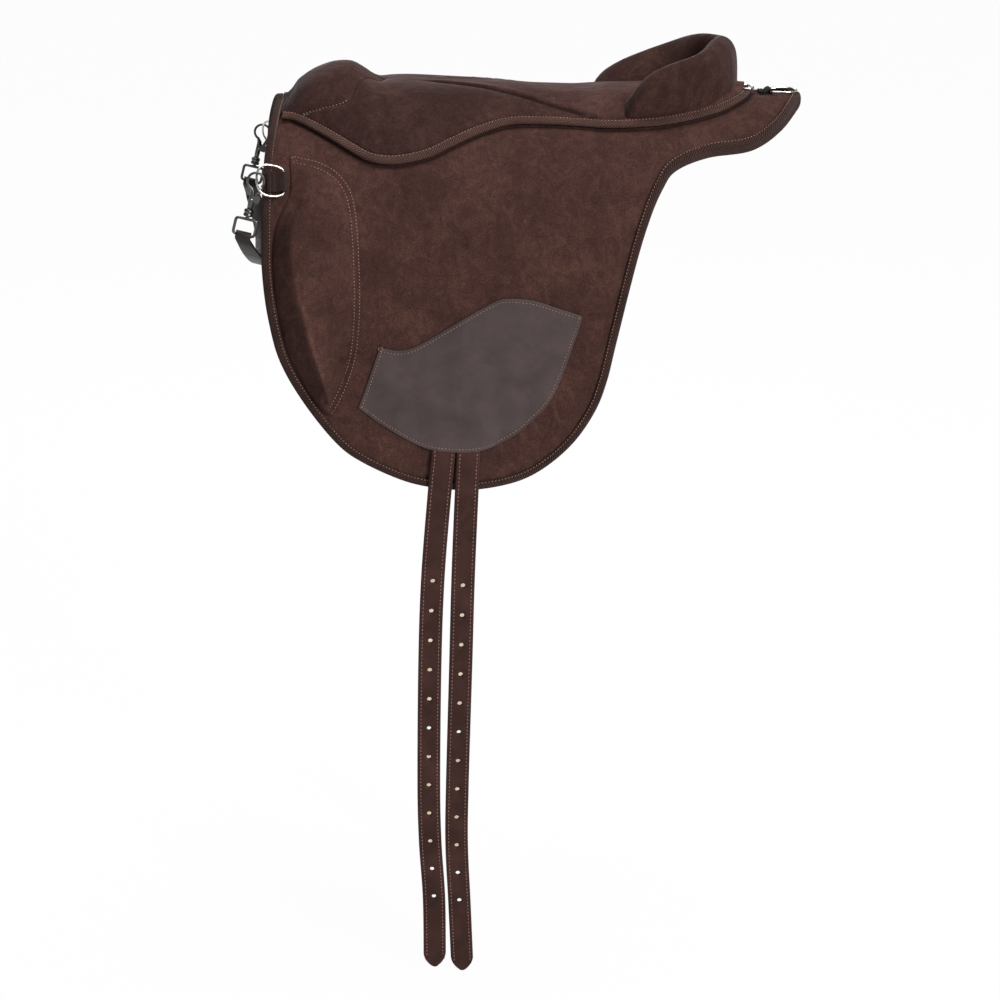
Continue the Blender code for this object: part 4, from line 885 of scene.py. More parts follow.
def beside_seat(line):
    """The part of the seat's outline that its binding covers: all but the front, over the arch."""
    return (line[:, 0] > SEAT_SIDE[0, 0] + 0.02) | (np.abs(line[:, 1]) > SEAT_SIDE[0, 1] - 0.0005)


# Materials

materials = {}


def node(tree, kind, settings=None, sockets=None):
    """Adds a node: settings are its options, sockets are values or (node, output) pairs to link."""
    made = tree.nodes.new(kind)
    for name, value in (settings or {}).items():
        setattr(made, name, value)
    for name, value in (sockets or {}).items():
        if isinstance(value, tuple) and isinstance(value[0], bpy.types.Node):
            tree.links.new(value[0].outputs[value[1]], made.inputs[name])
        else:
            made.inputs[name].default_value = value
    return made


def new_material(name, surface):
    """An empty material with a Principled shader whose uniform values are set on its own sockets."""
    made = bpy.data.materials.new(name)
    made.use_nodes = True
    tree = made.node_tree
    tree.nodes.clear()
    shader = node(tree, "ShaderNodeBsdfPrincipled", sockets=surface)
    node(tree, "ShaderNodeOutputMaterial", sockets={"Surface": (shader, "BSDF")})
    materials[name] = made
    return tree, shader


def shade(rgb, factor):
    """A colour made lighter or darker."""
    return tuple(min(1.0, v * factor) for v in rgb)


def mm(pattern):
    """A noise or weave scale from the pattern's real size in millimetres."""
    return 1000.0 / pattern


# Each of these adds nodes and gives back the (node, output) pair to link

def object_spot(tree):
    return node(tree, "ShaderNodeTexCoord"), "Object"


def noise_of(tree, spot, pattern, detail, roughness, distortion=0.0):
    """A noise whose pattern is so many millimetres wide."""
    return node(tree, "ShaderNodeTexNoise", sockets={
        "Vector": spot, "Scale": mm(pattern), "Detail": detail, "Roughness": roughness,
        "Distortion": distortion}), "Fac"


def maths(tree, operation, *values):
    return node(tree, "ShaderNodeMath", {"operation": operation}, dict(enumerate(values))), "Value"


def spread(tree, value, low, high, reach=(0.3, 0.7)):
    """A value stretched from its usual reach, here a noise's, to the range from low to high."""
    return node(tree, "ShaderNodeMapRange", sockets={
        "Value": value, "From Min": reach[0], "From Max": reach[1], "To Min": low, "To Max": high}), "Result"


def tones(tree, value, *stops):
    """A colour ramp. Each stop is (place, colour)."""
    made = node(tree, "ShaderNodeValToRGB", sockets={"Fac": value})
    elements = made.color_ramp.elements
    while len(elements) < len(stops):
        elements.new(0.5)
    for element, (spot, tone) in zip(elements, stops):
        element.position = spot
        element.color = (*tone, 1)
    return made, "Color"


def scaled(tree, tone, level):
    """A colour times a value."""
    return node(tree, "ShaderNodeVectorMath", {"operation": "SCALE"}, {"Vector": tone, "Scale": level}), "Vector"


def relief(tree, *layers):
    """Bumps on one another, the widest first. Each is (height, strength, depth in metres)."""
    below = {}
    for height, strength, depth in layers:
        made = node(tree, "ShaderNodeBump", sockets={
            "Strength": strength, "Distance": depth, "Height": height, **below})
        below = {"Normal": (made, "Normal")}
    return made, "Normal"


def feed(tree, shader, **sockets):
    """Links (node, output) pairs to the shader's sockets. An underscore stands for a space."""
    for name, (source, output) in sockets.items():
        tree.links.new(source.outputs[output], shader.inputs[name.replace("_", " ")])


def suede(name, low, middle, high, streak=1.0, haze=0.02):
    """Split suede, brushed: no gloss, a soft light rim, and clouds where the nap lies one way or the other."""
    tree, shader = new_material(name, {
        "Roughness": 0.95, "Specular IOR Level": 0.08, "Sheen Weight": haze, "Sheen Roughness": 0.28,
        "Sheen Tint": (0.9, 0.78, 0.8, 1)})
    spot = object_spot(tree)
    long = node(tree, "ShaderNodeMapping", sockets={"Vector": spot, "Scale": (1.0, 1.0, 0.7)})
    clouds = noise_of(tree, spot, 75, 4.0, 0.6, 0.6)
    strokes = noise_of(tree, (long, "Vector"), 14, 8.0, 0.72, 1.2)
    creases = noise_of(tree, spot, 22, 3.0, 0.55, 1.2)
    # The nap's own tufts are under half a millimetre, and are drawn at 1.3 so that they show
    nap = noise_of(tree, spot, 1.3, 3.0, 0.7)
    mixed = node(tree, "ShaderNodeMix", {"data_type": "FLOAT"}, {
        "Factor": 0.62 * streak, "A": clouds, "B": strokes})
    tone = tones(tree, (mixed, "Result"), (0.36, low), (0.5, middle), (0.66, high))
    # Painted shading, kept on the pieces: above 0 it darkens the colour as painted shade, below 0 lightens it as
    # painted light
    lie = node(tree, "ShaderNodeAttribute", {"attribute_name": "lie"})
    lean = maths(tree, "MULTIPLY_ADD", (lie, "Fac"), -SHADING_PAINT_STRENGTH, 1.0)
    level = maths(tree, "MULTIPLY", spread(tree, nap, 0.60, 1.38), lean)
    feed(tree, shader, Base_Color=scaled(tree, tone, level),
         Normal=relief(tree, (creases, 0.6, 0.0018), (nap, 0.5, 0.0003)))


def grained_leather(name, base, roughness, grain, cloud, gloss):
    """Drum dyed leather, plated smooth: a low even gloss, fine pores and slow clouds in its colour."""
    tree, shader = new_material(name, {"Specular IOR Level": gloss})
    spot = object_spot(tree)
    clouds = noise_of(tree, spot, 38, 5.0, 0.6, 0.4)
    marks = noise_of(tree, spot, 9, 6.0, 0.7)
    # Pores are near 0.3 mm and are drawn coarser so that they show
    pores = node(tree, "ShaderNodeTexVoronoi", {"feature": "F1"}, {
        "Vector": spot, "Scale": mm(grain), "Randomness": 1.0})
    tone = tones(tree, clouds, (0.3, shade(base, 1 - cloud * 1.6)), (0.5, base), (0.72, shade(base, 1 + cloud * 2.2)))
    feed(tree, shader, Base_Color=tone, Roughness=spread(tree, marks, roughness - 0.08, roughness + 0.1),
         Normal=relief(tree, (marks, 0.35, 0.0005), ((pores, "Distance"), 0.3, 0.0002)))


def ribbed_tape(name, base, pitch):
    """Woven cotton twill tape: slanting ribs that catch the light, matt between them. Its colour is painted lighter on
    the ribs and darker between them, a painted light and shade that follow the weave's bump.
    """
    tree, shader = new_material(name, {
        "Roughness": 0.9, "Specular IOR Level": 0.10, "Sheen Weight": 0.05, "Sheen Roughness": 0.5})
    spot = node(tree, "ShaderNodeUVMap", {"uv_map": "UVMap"})
    parts = node(tree, "ShaderNodeSeparateXYZ", sockets={"Vector": (spot, "UV")})
    slant = maths(tree, "ADD", (parts, "X"), (parts, "Y"))
    ribs = maths(tree, "SINE", maths(tree, "MULTIPLY", slant, math.tau / pitch))
    weft = maths(tree, "SINE", maths(tree, "MULTIPLY", (parts, "Y"), math.tau / WEFT_PITCH))
    weave = maths(tree, "MULTIPLY_ADD", weft, 0.35, ribs)
    dirt = noise_of(tree, object_spot(tree), 28, 4.0, 0.6)
    tone = tones(tree, dirt, (0.3, shade(base, 0.78)), (0.5, base), (0.75, shade(base, 1.3)))
    # The weave's pattern in the colour, as painted light on the ribs and painted shade between them
    level = spread(tree, weave, 0.52, 1.45, (-1.2, 1.2))
    feed(tree, shader, Base_Color=scaled(tree, tone, level), Normal=relief(tree, (weave, 1.0, 0.0008)))


def spun_thread(name, base):
    """Waxed polyester thread: pale, slightly shiny, its colour a little uneven along the seam."""
    tree, shader = new_material(name, {"Roughness": 0.7, "Specular IOR Level": 0.2})
    uneven = noise_of(tree, object_spot(tree), 6, 3.0, 0.6)
    tone = tones(tree, uneven, (0.3, shade(base, 0.6)), (0.5, base), (0.7, shade(base, 1.35)))
    feed(tree, shader, Base_Color=tone)


def bright_metal(name, base, roughness):
    """Plated wire: clear reflections, dulled a little by handling."""
    tree, shader = new_material(name, {"Base Color": (*base, 1), "Metallic": 1.0})
    wear = noise_of(tree, object_spot(tree), 5, 6.0, 0.7)
    feed(tree, shader, Roughness=spread(tree, wear, roughness - 0.05, roughness + 0.12),
         Normal=relief(tree, (wear, 0.2, 0.0001)))


def white_card():
    """Matt white card: it takes soft shadows and light from the lamps, and looks nearly white to the camera."""
    tree, shader = new_material("matt_white_card", {"Base Color": (0.82, 0.82, 0.82, 1), "Roughness": 1.0})
    white = node(tree, "ShaderNodeEmission", sockets={"Color": (1, 1, 1, 1), "Strength": 1.0})
    path = node(tree, "ShaderNodeLightPath")
    seen = maths(tree, "MAXIMUM", (path, "Is Camera Ray"), (path, "Is Glossy Ray"))
    mixed = node(tree, "ShaderNodeMixShader", sockets={
        "Fac": maths(tree, "MULTIPLY", seen, FLOOR_WHITE), 1: (shader, "BSDF"), 2: (white, "Emission")})
    output = next(n for n in tree.nodes if n.type == "OUTPUT_MATERIAL")
    tree.links.new(mixed.outputs["Shader"], output.inputs["Surface"])


def make_materials():
    """The finishes, named for what the real ones are."""
    given, ribs = bpy.context.scene.pad_colours, bpy.context.scene.pad_sewing.rib_pitch
    tone = {name: tuple(getattr(given, name)) for name in PadColours.__annotations__}
    low, middle, high = tone["suede_dark"], tone["suede"], tone["suede_light"]
    suede("brushed_suede", low, middle, high)
    suede("knee_suede", shade(low, 0.95), middle, shade(high, 1.05), 0.9, 0.10)
    suede("seat_suede", tone["seat_dark"], tone["seat"], tone["seat_light"], 0.8, 0.20)
    suede("lining_suede", shade(low, 0.85), shade(middle, 0.8), shade(high, 0.8))
    grained_leather("plated_leather", tone["patch"], 0.55, 0.9, 0.14, 0.2)
    grained_leather("bridle_leather", tone["strap"], 0.55, 0.8, 0.2, 0.12)
    grained_leather("handle_leather", tone["handle"], 0.42, 0.9, 0.1, 0.3)
    grained_leather("flesh_side_leather", tone["flesh"], 0.75, 0.8, 0.1, 0.15)
    ribbed_tape("twill_tape", tone["tape"], ribs)
    ribbed_tape("pale_twill_tape", tone["seat_tape"], ribs)
    ribbed_tape("nylon_webbing", tone["webbing"], WEBBING_PITCH)
    ribbed_tape("brown_webbing", shade(middle, 0.9), WEBBING_PITCH)
    spun_thread("waxed_thread", tone["thread"])
    bright_metal("nickel_plate", linear("#D8D5CF"), 0.16)
    bright_metal("gunmetal_plate", linear("#5B5957"), 0.26)
    white_card()


# Stitches, by Geometry Nodes

def stitch_tree():
    """Lays stitches along the lines of a mesh."""
    tree = bpy.data.node_groups.new("stitches", "GeometryNodeTree")
    for name, way, kind in (("Geometry", "INPUT", "Geometry"), ("Pitch", "INPUT", "Float"),
                            ("Length", "INPUT", "Float"), ("Width", "INPUT", "Float"),
                            ("Material", "INPUT", "Material"), ("Geometry", "OUTPUT", "Geometry")):
        tree.interface.new_socket(name, in_out=way, socket_type=f"NodeSocket{kind}")
    given = node(tree, "NodeGroupInput")
    curve = node(tree, "GeometryNodeMeshToCurve", sockets={"Mesh": (given, "Geometry")})
    even = node(tree, "GeometryNodeResampleCurve", {"mode": "LENGTH"}, {
        "Curve": (curve, "Curve"), "Length": (given, "Pitch")})
    bead = node(tree, "GeometryNodeMeshUVSphere", sockets={"Segments": 6, "Rings": 4, "Radius": 0.5})
    way = node(tree, "GeometryNodeInputTangent")
    turn = node(tree, "FunctionNodeAlignEulerToVector", {"axis": "Z"}, {"Vector": (way, "Tangent")})
    stretch = node(tree, "ShaderNodeCombineXYZ", sockets={
        "X": (given, "Width"), "Y": (given, "Width"), "Z": (given, "Length")})
    laid = node(tree, "GeometryNodeInstanceOnPoints", sockets={
        "Points": (even, "Curve"), "Instance": (bead, "Mesh"), "Rotation": (turn, "Rotation"),
        "Scale": (stretch, "Vector")})
    real = node(tree, "GeometryNodeRealizeInstances", sockets={"Geometry": (laid, "Instances")})
    painted = node(tree, "GeometryNodeSetMaterial", sockets={
        "Geometry": (real, "Geometry"), "Material": (given, "Material")})
    node(tree, "NodeGroupOutput", sockets={"Geometry": (painted, "Geometry")})
    return tree


def stitches(name, lines, pitch=None, length=None):
    """One piece of stitching along world lines. Each line is (points, closed)."""
    sewing = bpy.context.scene.pad_sewing
    verts, edges = [], []
    for points, closed in lines:
        first, count = len(verts), len(points)
        verts += [tuple(p) for p in points]
        edges += [(first + k, first + (k + 1) % count) for k in range(count if closed else count - 1)]
    mesh = bpy.data.meshes.new(name)
    mesh.from_pydata(verts, edges, [])
    helper = linked(f"{name}_lines", mesh)
    tree = bpy.data.node_groups.get("stitches") or stitch_tree()
    modifier = helper.modifiers.new("stitches", "NODES")
    modifier.node_group = tree
    given = {"Pitch": pitch or sewing.stitch_pitch, "Length": length or sewing.stitch_length,
             "Width": sewing.thread_width, "Material": materials["waxed_thread"]}
    for item in tree.interface.items_tree:
        if item.item_type == "SOCKET" and item.in_out == "INPUT" and item.name in given:
            modifier[item.identifier] = given[item.name]
    result = plain_mesh(helper)
    bpy.data.objects.remove(helper, do_unlink=True)
    result.name = name
    result.shade_smooth()
    return linked(name, result)


def sewn_line(flat, height, closed=False):
    """A world line just above a sewn surface."""
    return lay(flat[:, 0], flat[:, 1], np.broadcast_to(height, len(flat))), closed


# The pieces

class PadOperator:
    """What the operators share."""
    bl_options = {"REGISTER", "UNDO"}


class PAD_OT_finishes(PadOperator, bpy.types.Operator):
    """Makes the suede, leather, tape, thread and metal finishes"""
    bl_idname = "pad.finishes"
    bl_label = "Finishes"

    def execute(self, context):
        make_materials()
        return {"FINISHED"}


def edge_round(depth):
    """How far the padding's upper edge is rounded down."""
    share = 1 - np.clip(depth / EDGE_ROUND, 0, 1)
    return EDGE_ROUND * (1 - np.sqrt(np.clip(1 - share**2, 0, 1)))


def edge_lift(depth):
    """How far the underside is drawn up where the padding thins towards its binding."""
    return EDGE_LIFT * (1 - eased((depth - EDGE_LIFT_START) / EDGE_LIFT_WIDTH))


def pad_top(places, depth):
    """The pad's upper surface: drawn down beside its binding, and a little uneven like stuffed suede."""
    valley = hill(depth - BINDING_WIDTH, *BINDING_GROOVE)
    crease = hill(depth_in(places, SEAT_EDGE), *SEAT_GROOVE)
    calm = np.clip((depth - 0.012) / 0.03, 0, 1)
    return COVER_TOP - valley - crease - edge_round(depth) + calm * ripple(places, *PAD_STUFFING)


class PAD_OT_pad(PadOperator, bpy.types.Operator):
    """Makes the padded suede body and the lining under it"""
    bl_idname = "pad.pad"
    bl_label = "Pad"

    def execute(self, context):
        outline = inset(resample(PAD_OUTLINE, WIDE_STEP, closed=True), EDGE_INSET)
        beside = open_run(SEAT_EDGE, beside_seat(SEAT_EDGE))
        places, triangles = net(outline, PAD_NET, PAD_ROWS, lines=[beside])
        depth = depth_in(places, outline)
        under = edge_lift(depth)
        cover = quilt("pad_skin", places, triangles, pad_top(places, depth), CORE_LOW + GAP + under,
                      materials["brushed_suede"])
        # Painted shadow along the seat's edge beside its tape, and painted shade that darkens the tail
        crease = hill(depth_in(places, beside, closed=False), *SEAT_EDGE_PAINTED_SHADOW)
        keep_painted_shading(cover, crease + TAIL_PAINTED_SHADE * eased((places[:, 0] - TAIL_PAINTED_SHADE_START) / 0.05))
        place(cover, "pad", "brown_suede", "pad_cover", "pad_core", "girth_web_front", "girth_web_rear")
        keep = (depth > LINING_MARGIN)[triangles].all(1)
        used = np.unique(triangles[keep])
        renumber = np.full(len(places), -1)
        renumber[used] = np.arange(len(used))
        cut, faces = places[used], renumber[triangles[keep]]
        lining = quilt("lining", cut, faces, CORE_LOW + under[used], under[used], materials["lining_suede"])
        place(lining, "pad", "brown_suede", "underside_lining")
        return {"FINISHED"}


class PAD_OT_bindings(PadOperator, bpy.types.Operator):
    """Makes the ribbed tape round the pad and round the seat"""
    bl_idname = "pad.bindings"
    bl_label = "Bindings"

    def execute(self, context):
        place(band("pad_tape", PAD_OUTLINE, PAD_TAPE, materials["twill_tape"]),
              "pad", "ribbed_binding", "pad_binding")
        section = [(depth, DECK + height) for depth, height in SEAT_TAPE]
        place(band("seat_tape", SEAT_EDGE, section, materials["pale_twill_tape"], beside_seat),
              "pad", "ribbed_binding", "seat_binding")
        line = resample(PAD_OUTLINE, closed=True)
        lines = [sewn_line(line + normals_in(line) * depth, height, True) for depth, height in PAD_TAPE_STITCHES]
        depth, height = SEAT_TAPE_STITCHES
        sewn = open_run(SEAT_EDGE + normals_in(SEAT_EDGE) * depth, beside_seat(SEAT_EDGE))
        lines.append(sewn_line(sewn, DECK + height))
        place(stitches("binding_stitches", lines), "pad", "ribbed_binding")
        return {"FINISHED"}


def cushion(name, outline, pitch, rise, skin, material, nodes, puff, lie, lines=()):
    """A stuffed panel sewn down round its edge and, by its seams, along the given lines. rise() is the height of
    its underside, and the function given after puff gives its painted shade and painted light."""
    places, triangles = net(outline, pitch, CUSHION_ROWS, lines=lines)
    depth = depth_in(places, resample(outline, closed=True))
    top = DECK + rise(places, depth) + skin * np.clip(0.35 + depth / 0.0012, 0, 1)
    made = quilt(name, places, triangles, top, np.full(len(places), DECK), material)
    keep_painted_shading(made, lie(places))
    hold = np.clip(1 - (depth - HELD_EDGE) / HELD_RAMP, 0, 1)
    for line in lines:
        hold = np.maximum(hold, hill(depth_in(places, line, closed=False), *HELD_SEAM))
    puffed(made, np.concatenate([hold, np.ones(len(places))]), puff)
    place(made, "pad", "brown_suede", *nodes)


def behind_front(x, s):
    """How far places of the seat are behind the binding in front of it."""
    line = front_line(SEAT_SIDE[0, 1])
    return x - np.interp(np.abs(s), line[:, 1], line[:, 0])


def seat_rise(x, s):
    """Height of the seat's underside over the pad's cover."""
    share = (x - SEAT_FRONT) / SEAT_LENGTH
    half = np.maximum(SEAT_LEAST_HALF, np.interp(x, SEAT_INNER_SIDE[:, 0], SEAT_INNER_SIDE[:, 1]))
    across = np.minimum(1.0, np.abs(s) / half)
    body = SEAT_RISE * along(SEAT_TOP, share) * (1 - across**SEAT_CROWN) ** SEAT_FULLNESS
    hump = POMMEL_RISE * along(POMMEL_TOP, share) * np.clip(1 - (s / POMMEL_HALF_WIDTH) ** 2, 0, 1)
    hump *= (share > POMMEL_TOP[0][0]) & (share < POMMEL_TOP[-1][0])
    return (body + hump) * eased(behind_front(x, s) / POMMEL_FRONT_SLOPE)


def seam_valley(places):
    """How far the seams of the seat draw its padding in: a groove, with the panel inside it standing a little proud."""
    x, flat = places[:, 0], np.abs(places[:, 1])
    spots = np.stack([x, flat], axis=1)
    front = hill(depth_in(spots, SEAM, closed=False), *POMMEL_GROOVE)
    away = depth_in(spots, TWIST, closed=False)
    past = np.sign(flat - np.interp(x, TWIST[:, 0], TWIST[:, 1]))
    middle = hill(away, *TWIST_GROOVE) + past * hill(away - TWIST_STEP_OFF, *TWIST_STEP)
    ends = eased((x - TWIST[0, 0]) / 0.03) * eased((TWIST[-1, 0] + 0.004 - x) / 0.012)
    return bpy.context.scene.pad_sewing.seam_depth * (front + middle * ends)


def seat_surface(places, depth):
    """The seat's underside with its seams drawn in, a little uneven like stuffed suede."""
    soft = ripple(places, *SEAT_STUFFING) * np.clip(depth / 0.02, 0, 1)
    return np.maximum(0.0, seat_rise(places[:, 0], places[:, 1]) - seam_valley(places) + soft)


def seat_painted_shading(places):
    """The seat's painted shading: painted shade along its front rim and in its seam, and painted light on its middle
    panel.
    """
    x, flat = places[:, 0], np.abs(places[:, 1])
    rim = 0.014 + 0.030 * eased(1 - flat / 0.09)
    front = 1 - eased(behind_front(x, flat) / rim)
    seam = hill(depth_in(np.stack([x, flat], axis=1), TWIST, closed=False), *TWIST_PAINTED_SHADE) * (x > TWIST[0, 0] + 0.02)
    panel = eased((np.interp(x, TWIST[:, 0], TWIST[:, 1]) - flat) / 0.004) * eased((x + 0.11) / 0.04)
    return SEAT_FRONT_PAINTED_SHADE * front + seam - SEAT_TOP_PAINTED_LIGHT * panel


class PAD_OT_seat(PadOperator, bpy.types.Operator):
    """Makes the stuffed seat and the raised pommel in front of it"""
    bl_idname = "pad.seat"
    bl_label = "Seat and pommel"

    def execute(self, context):
        end, side = SEAM[-1, 0], SEAT_INNER_SIDE
        before, after = side[side[:, 0] < end - 0.001], side[side[:, 0] > end + 0.001]
        seat_half = np.concatenate([SEAM + [GAP, 0], after, [(SEAT_INNER[:, 0].max(), 0.0)]])
        pommel_half = np.concatenate([front_line(SEAT_CORNER), before, (SEAM - [GAP, 0])[::-1]])
        puff, cloth = context.scene.pad_sewing.puff, materials["seat_suede"]
        twist = resample(TWIST, WIDE_STEP)
        cushion("seat_skin", both_sides(seat_half), SEAT_NET, seat_surface, SEAT_SKIN, cloth,
                ("seat_cover", "seat_foam"), puff, seat_painted_shading, [twist, mirrored(twist, -1)])
        cushion("pommel_skin", both_sides(pommel_half), CUSHION_NET, seat_surface, SEAT_SKIN, cloth,
                ("pommel_cover", "pommel_foam"), puff * 0.6, seat_painted_shading)
        sewn = (SEAM[:, 0] > POMMEL_STITCHES[0]) & (SEAM[:, 0] < POMMEL_STITCHES[1])
        path = SEAM[sewn] - [POMMEL_STITCH_INSET, 0]
        height = DECK + seat_rise(path[:, 0], path[:, 1]) - seam_valley(path) + SEAT_SKIN + 0.0004
        lines = [sewn_line(mirrored(path, side), height) for side, _ in SIDES]
        place(stitches("seat_stitches", lines), "pad", "brown_suede")
        return {"FINISHED"}


def cantle_inner_line(side):
    """The inner foot of the cantle's horseshoe, from the tip of its arm to the spine."""
    back = CANTLE_BACK - CANTLE_ROLL
    start = CANTLE_BACK - CANTLE_ARMS[side]
    points = []
    for share in (0.0, 0.18, 0.40, 0.62, 0.80, 0.93, 1.0):
        straight = CANTLE_HOLLOW - CANTLE_TAPER * share
        points.append((start + share * (back - start), straight / 2 * math.sqrt(max(0.0, 1 - share**5))))
    return smooth(points)


def cantle_outer_line(side):
    """The outer foot of the cantle, from the tip of its arm to the spine."""
    edge = inset(SEAT_EDGE, SEAT_BINDING_WIDTH + GAP + CANTLE_SET_IN)
    start = CANTLE_BACK - CANTLE_ARMS[side]
    half = edge[(edge[:, 1] > 0.002) & (edge[:, 0] > start)]
    turn = np.arctan2(half[:, 1], half[:, 0] - start)
    half = half[np.argsort(-turn)]
    upper = edge[edge[:, 1] >= 0]
    upper = upper[np.argsort(upper[:, 0])]
    first = (start, float(np.interp(start, upper[:, 0], upper[:, 1])))
    line = np.concatenate([[first], half, [(CANTLE_BACK, 0.0)]])
    line[:, 1] += CANTLE_SIDE_OUT * eased((CANTLE_BACK - line[:, 0]) / 0.05)
    return line


def cantle_half(side):
    """Sections of one half of the cantle from the tip of its arm to the spine, as (x, s, h)."""
    feet = []
    for line in (cantle_outer_line(side), cantle_inner_line(side)):
        line = resample(line, FINE_STEP)
        feet.append(line[np.linspace(0, len(line) - 1, 1 + CANTLE_STEPS).round().astype(int)])
    arm, back = smooth(ARM_SECTION, 3), smooth(BACK_SECTION, 3)
    sections = []
    for number, (outer, inner) in enumerate(zip(*feet)):
        share = number / CANTLE_STEPS
        section = arm + (back - arm) * eased((share - 0.5) / 0.4)
        flat = outer + (inner - outer) * section[:, :1]
        height = CANTLE_RISE * float(along(CANTLE_TOPS[side], share))
        rise = np.maximum(CANTLE_FOOT, height * section[:, 1])
        sections.append(np.column_stack([flat * [1, side], DECK + rise]))
    return sections


class PAD_OT_cantle(PadOperator, bpy.types.Operator):
    """Makes the horseshoe cantle"""
    bl_idname = "pad.cantle"
    bl_label = "Cantle"

    def execute(self, context):
        rings = cantle_half(-1) + cantle_half(1)[-2::-1]
        sections = []
        for ring in rings:
            base = ring[[-1, 0]] * [1, 1, 0] + [0, 0, DECK]
            sections.append(lay(*np.concatenate([ring, base]).T))
        made = loft("cantle_skin", sections, materials["seat_suede"])
        # The foot and the tips of the arms are sewn down, so they hold still
        pin = np.zeros((len(sections), len(sections[0])))
        pin[:, [0, 1, 2, -5, -4, -3, -2, -1]] = 1
        pin[[0, -1]] = 1
        pin[[1, 2, -3, -2]] = np.maximum(pin[[1, 2, -3, -2]], 0.5)
        puffed(made, pin.ravel(), context.scene.pad_sewing.puff * 0.4)
        place(made, "pad", "brown_suede", "cantle_cover", "cantle_foam")
        foot = np.array([ring[0, :2] for ring in rings])
        line = sewn_line(foot, DECK + CANTLE_STITCH_HEIGHT)
        place(stitches("cantle_stitches", [line]), "pad", "brown_suede")
        return {"FINISHED"}


def knee_sides(away):
    """x of the front and of the rear side of a knee block, at a distance from the spine."""
    top, foot = KNEE_OUTLINE[np.argmin(KNEE_OUTLINE[:, 1])], KNEE_OUTLINE[np.argmax(KNEE_OUTLINE[:, 1])]
    middle = top[0] + (KNEE_OUTLINE[:, 1] - top[1]) * (foot[0] - top[0]) / (foot[1] - top[1])
    ahead = KNEE_OUTLINE[:, 0] < middle
    sides = (part[np.argsort(part[:, 1])] for part in (KNEE_OUTLINE[ahead], KNEE_OUTLINE[~ahead]))
    return [np.interp(away, side[:, 1], side[:, 0]) for side in sides]


def knee_share(places):
    """How far places of a knee block are on their way from its front side to the stitches of its rear side."""
    front, rear = knee_sides(np.abs(places[:, 1]))
    return (places[:, 0] - front) / np.maximum(0.01, rear - KNEE_BORDER - front)


def knee_rise(places, depth):
    """Height of a knee block: steep from its front side up to its ridge, then falling away towards the rear."""
    away = np.abs(places[:, 1])
    share = np.clip(knee_share(places), 0, 1)
    ridge = along(KNEE_RIDGE, away)
    rising, falling = share / ridge, 1 - np.clip((share - ridge) / (1 - ridge), 0, 1) ** KNEE_FALL
    # The lower of the two, with the edge between them blunted
    blunt = np.exp(-rising / KNEE_CREST) + np.exp(-falling / KNEE_CREST)
    face = np.maximum(0.0, -KNEE_CREST * np.log(blunt))
    ends, sewn = (np.sin(np.clip((depth - start) / KNEE_SHOULDER, 0, 1) * math.pi / 2)
                  for start in (0.001, KNEE_BORDER))
    flank = eased((share - 0.35) / 0.3)
    ends = ends + (sewn - ends) * np.maximum(flank, 1 - eased((away - KNEE_OUTLINE[:, 1].min()) / 0.03))
    return KNEE_RISE * along(KNEE_HEIGHTS, away) * np.minimum(face, np.clip(ends * 1.15, 0, 1))


def knee_surface(places, depth):
    """A knee block's underside with its stitches drawn in, a little uneven like stuffed suede."""
    lift = knee_rise(places, depth)
    valley = hill(depth - KNEE_STITCHES[1], *KNEE_GROOVE)
    soft = ripple(places, *KNEE_STUFFING) * np.clip(lift / 0.006, 0, 1)
    return np.maximum(0.0, lift - valley + soft)


def knee_painted_shading(places):
    """A knee block's painted shading: painted shade in front of its ridge and low on its rear, a painted highlight
    along the ridge, and painted light high on its front.
    """
    away = np.abs(places[:, 1])
    past = knee_share(places) - along(KNEE_RIDGE, away)
    low = eased((away - 0.14) / 0.04)
    painted_highlight = hill(past - KNEE_PAINTED_HIGHLIGHT_OFF, *KNEE_PAINTED_HIGHLIGHT) * eased((away - 0.20) / 0.05) * eased((0.335 - away) / 0.03)
    top = KNEE_TOP_PAINTED_LIGHT * (1 - low) * eased(-past / 0.10)
    rear = KNEE_REAR_PAINTED_SHADE * eased((past - 0.15) / 0.35) * eased((away - 0.22) / 0.08)
    return low * KNEE_FRONT_PAINTED_SHADE * eased(-past / 0.10) - top - painted_highlight + rear


class PAD_OT_knee_blocks(PadOperator, bpy.types.Operator):
    """Makes the knee block of each flap with its double row of stitches"""
    bl_idname = "pad.knee_blocks"
    bl_label = "Knee blocks"

    def execute(self, context):
        away = np.linspace(*KNEE_CREST_ENDS, 96)
        front, rear = knee_sides(away)
        crest = np.column_stack([front + along(KNEE_RIDGE, away) * (rear - KNEE_BORDER - front), away])
        lines = []
        for side, name in SIDES:
            outline = mirrored(KNEE_OUTLINE, side)
            cushion(f"knee_{name}_skin", outline, CUSHION_NET, knee_surface, KNEE_SKIN, materials["knee_suede"],
                    (f"knee_{name}_cover", f"knee_{name}_foam"), KNEE_PUFF, knee_painted_shading, [mirrored(crest, side)])
            edge = resample(outline, closed=True)
            away = np.abs(edge[:, 1])
            # The front side has no stitches: its suede is turned under
            sewn = (edge[:, 0] > knee_sides(away)[0] + 0.006) | (away < KNEE_OUTLINE[:, 1].min() + 0.002)
            for depth in KNEE_STITCHES:
                flat = open_run(edge + normals_in(edge) * depth, sewn)
                rise = knee_surface(flat, np.full(len(flat), depth))
                lines.append(sewn_line(flat, DECK + rise + KNEE_SKIN + 0.0002))
        place(stitches("knee_stitches", lines), "pad", "brown_suede")
        return {"FINISHED"}


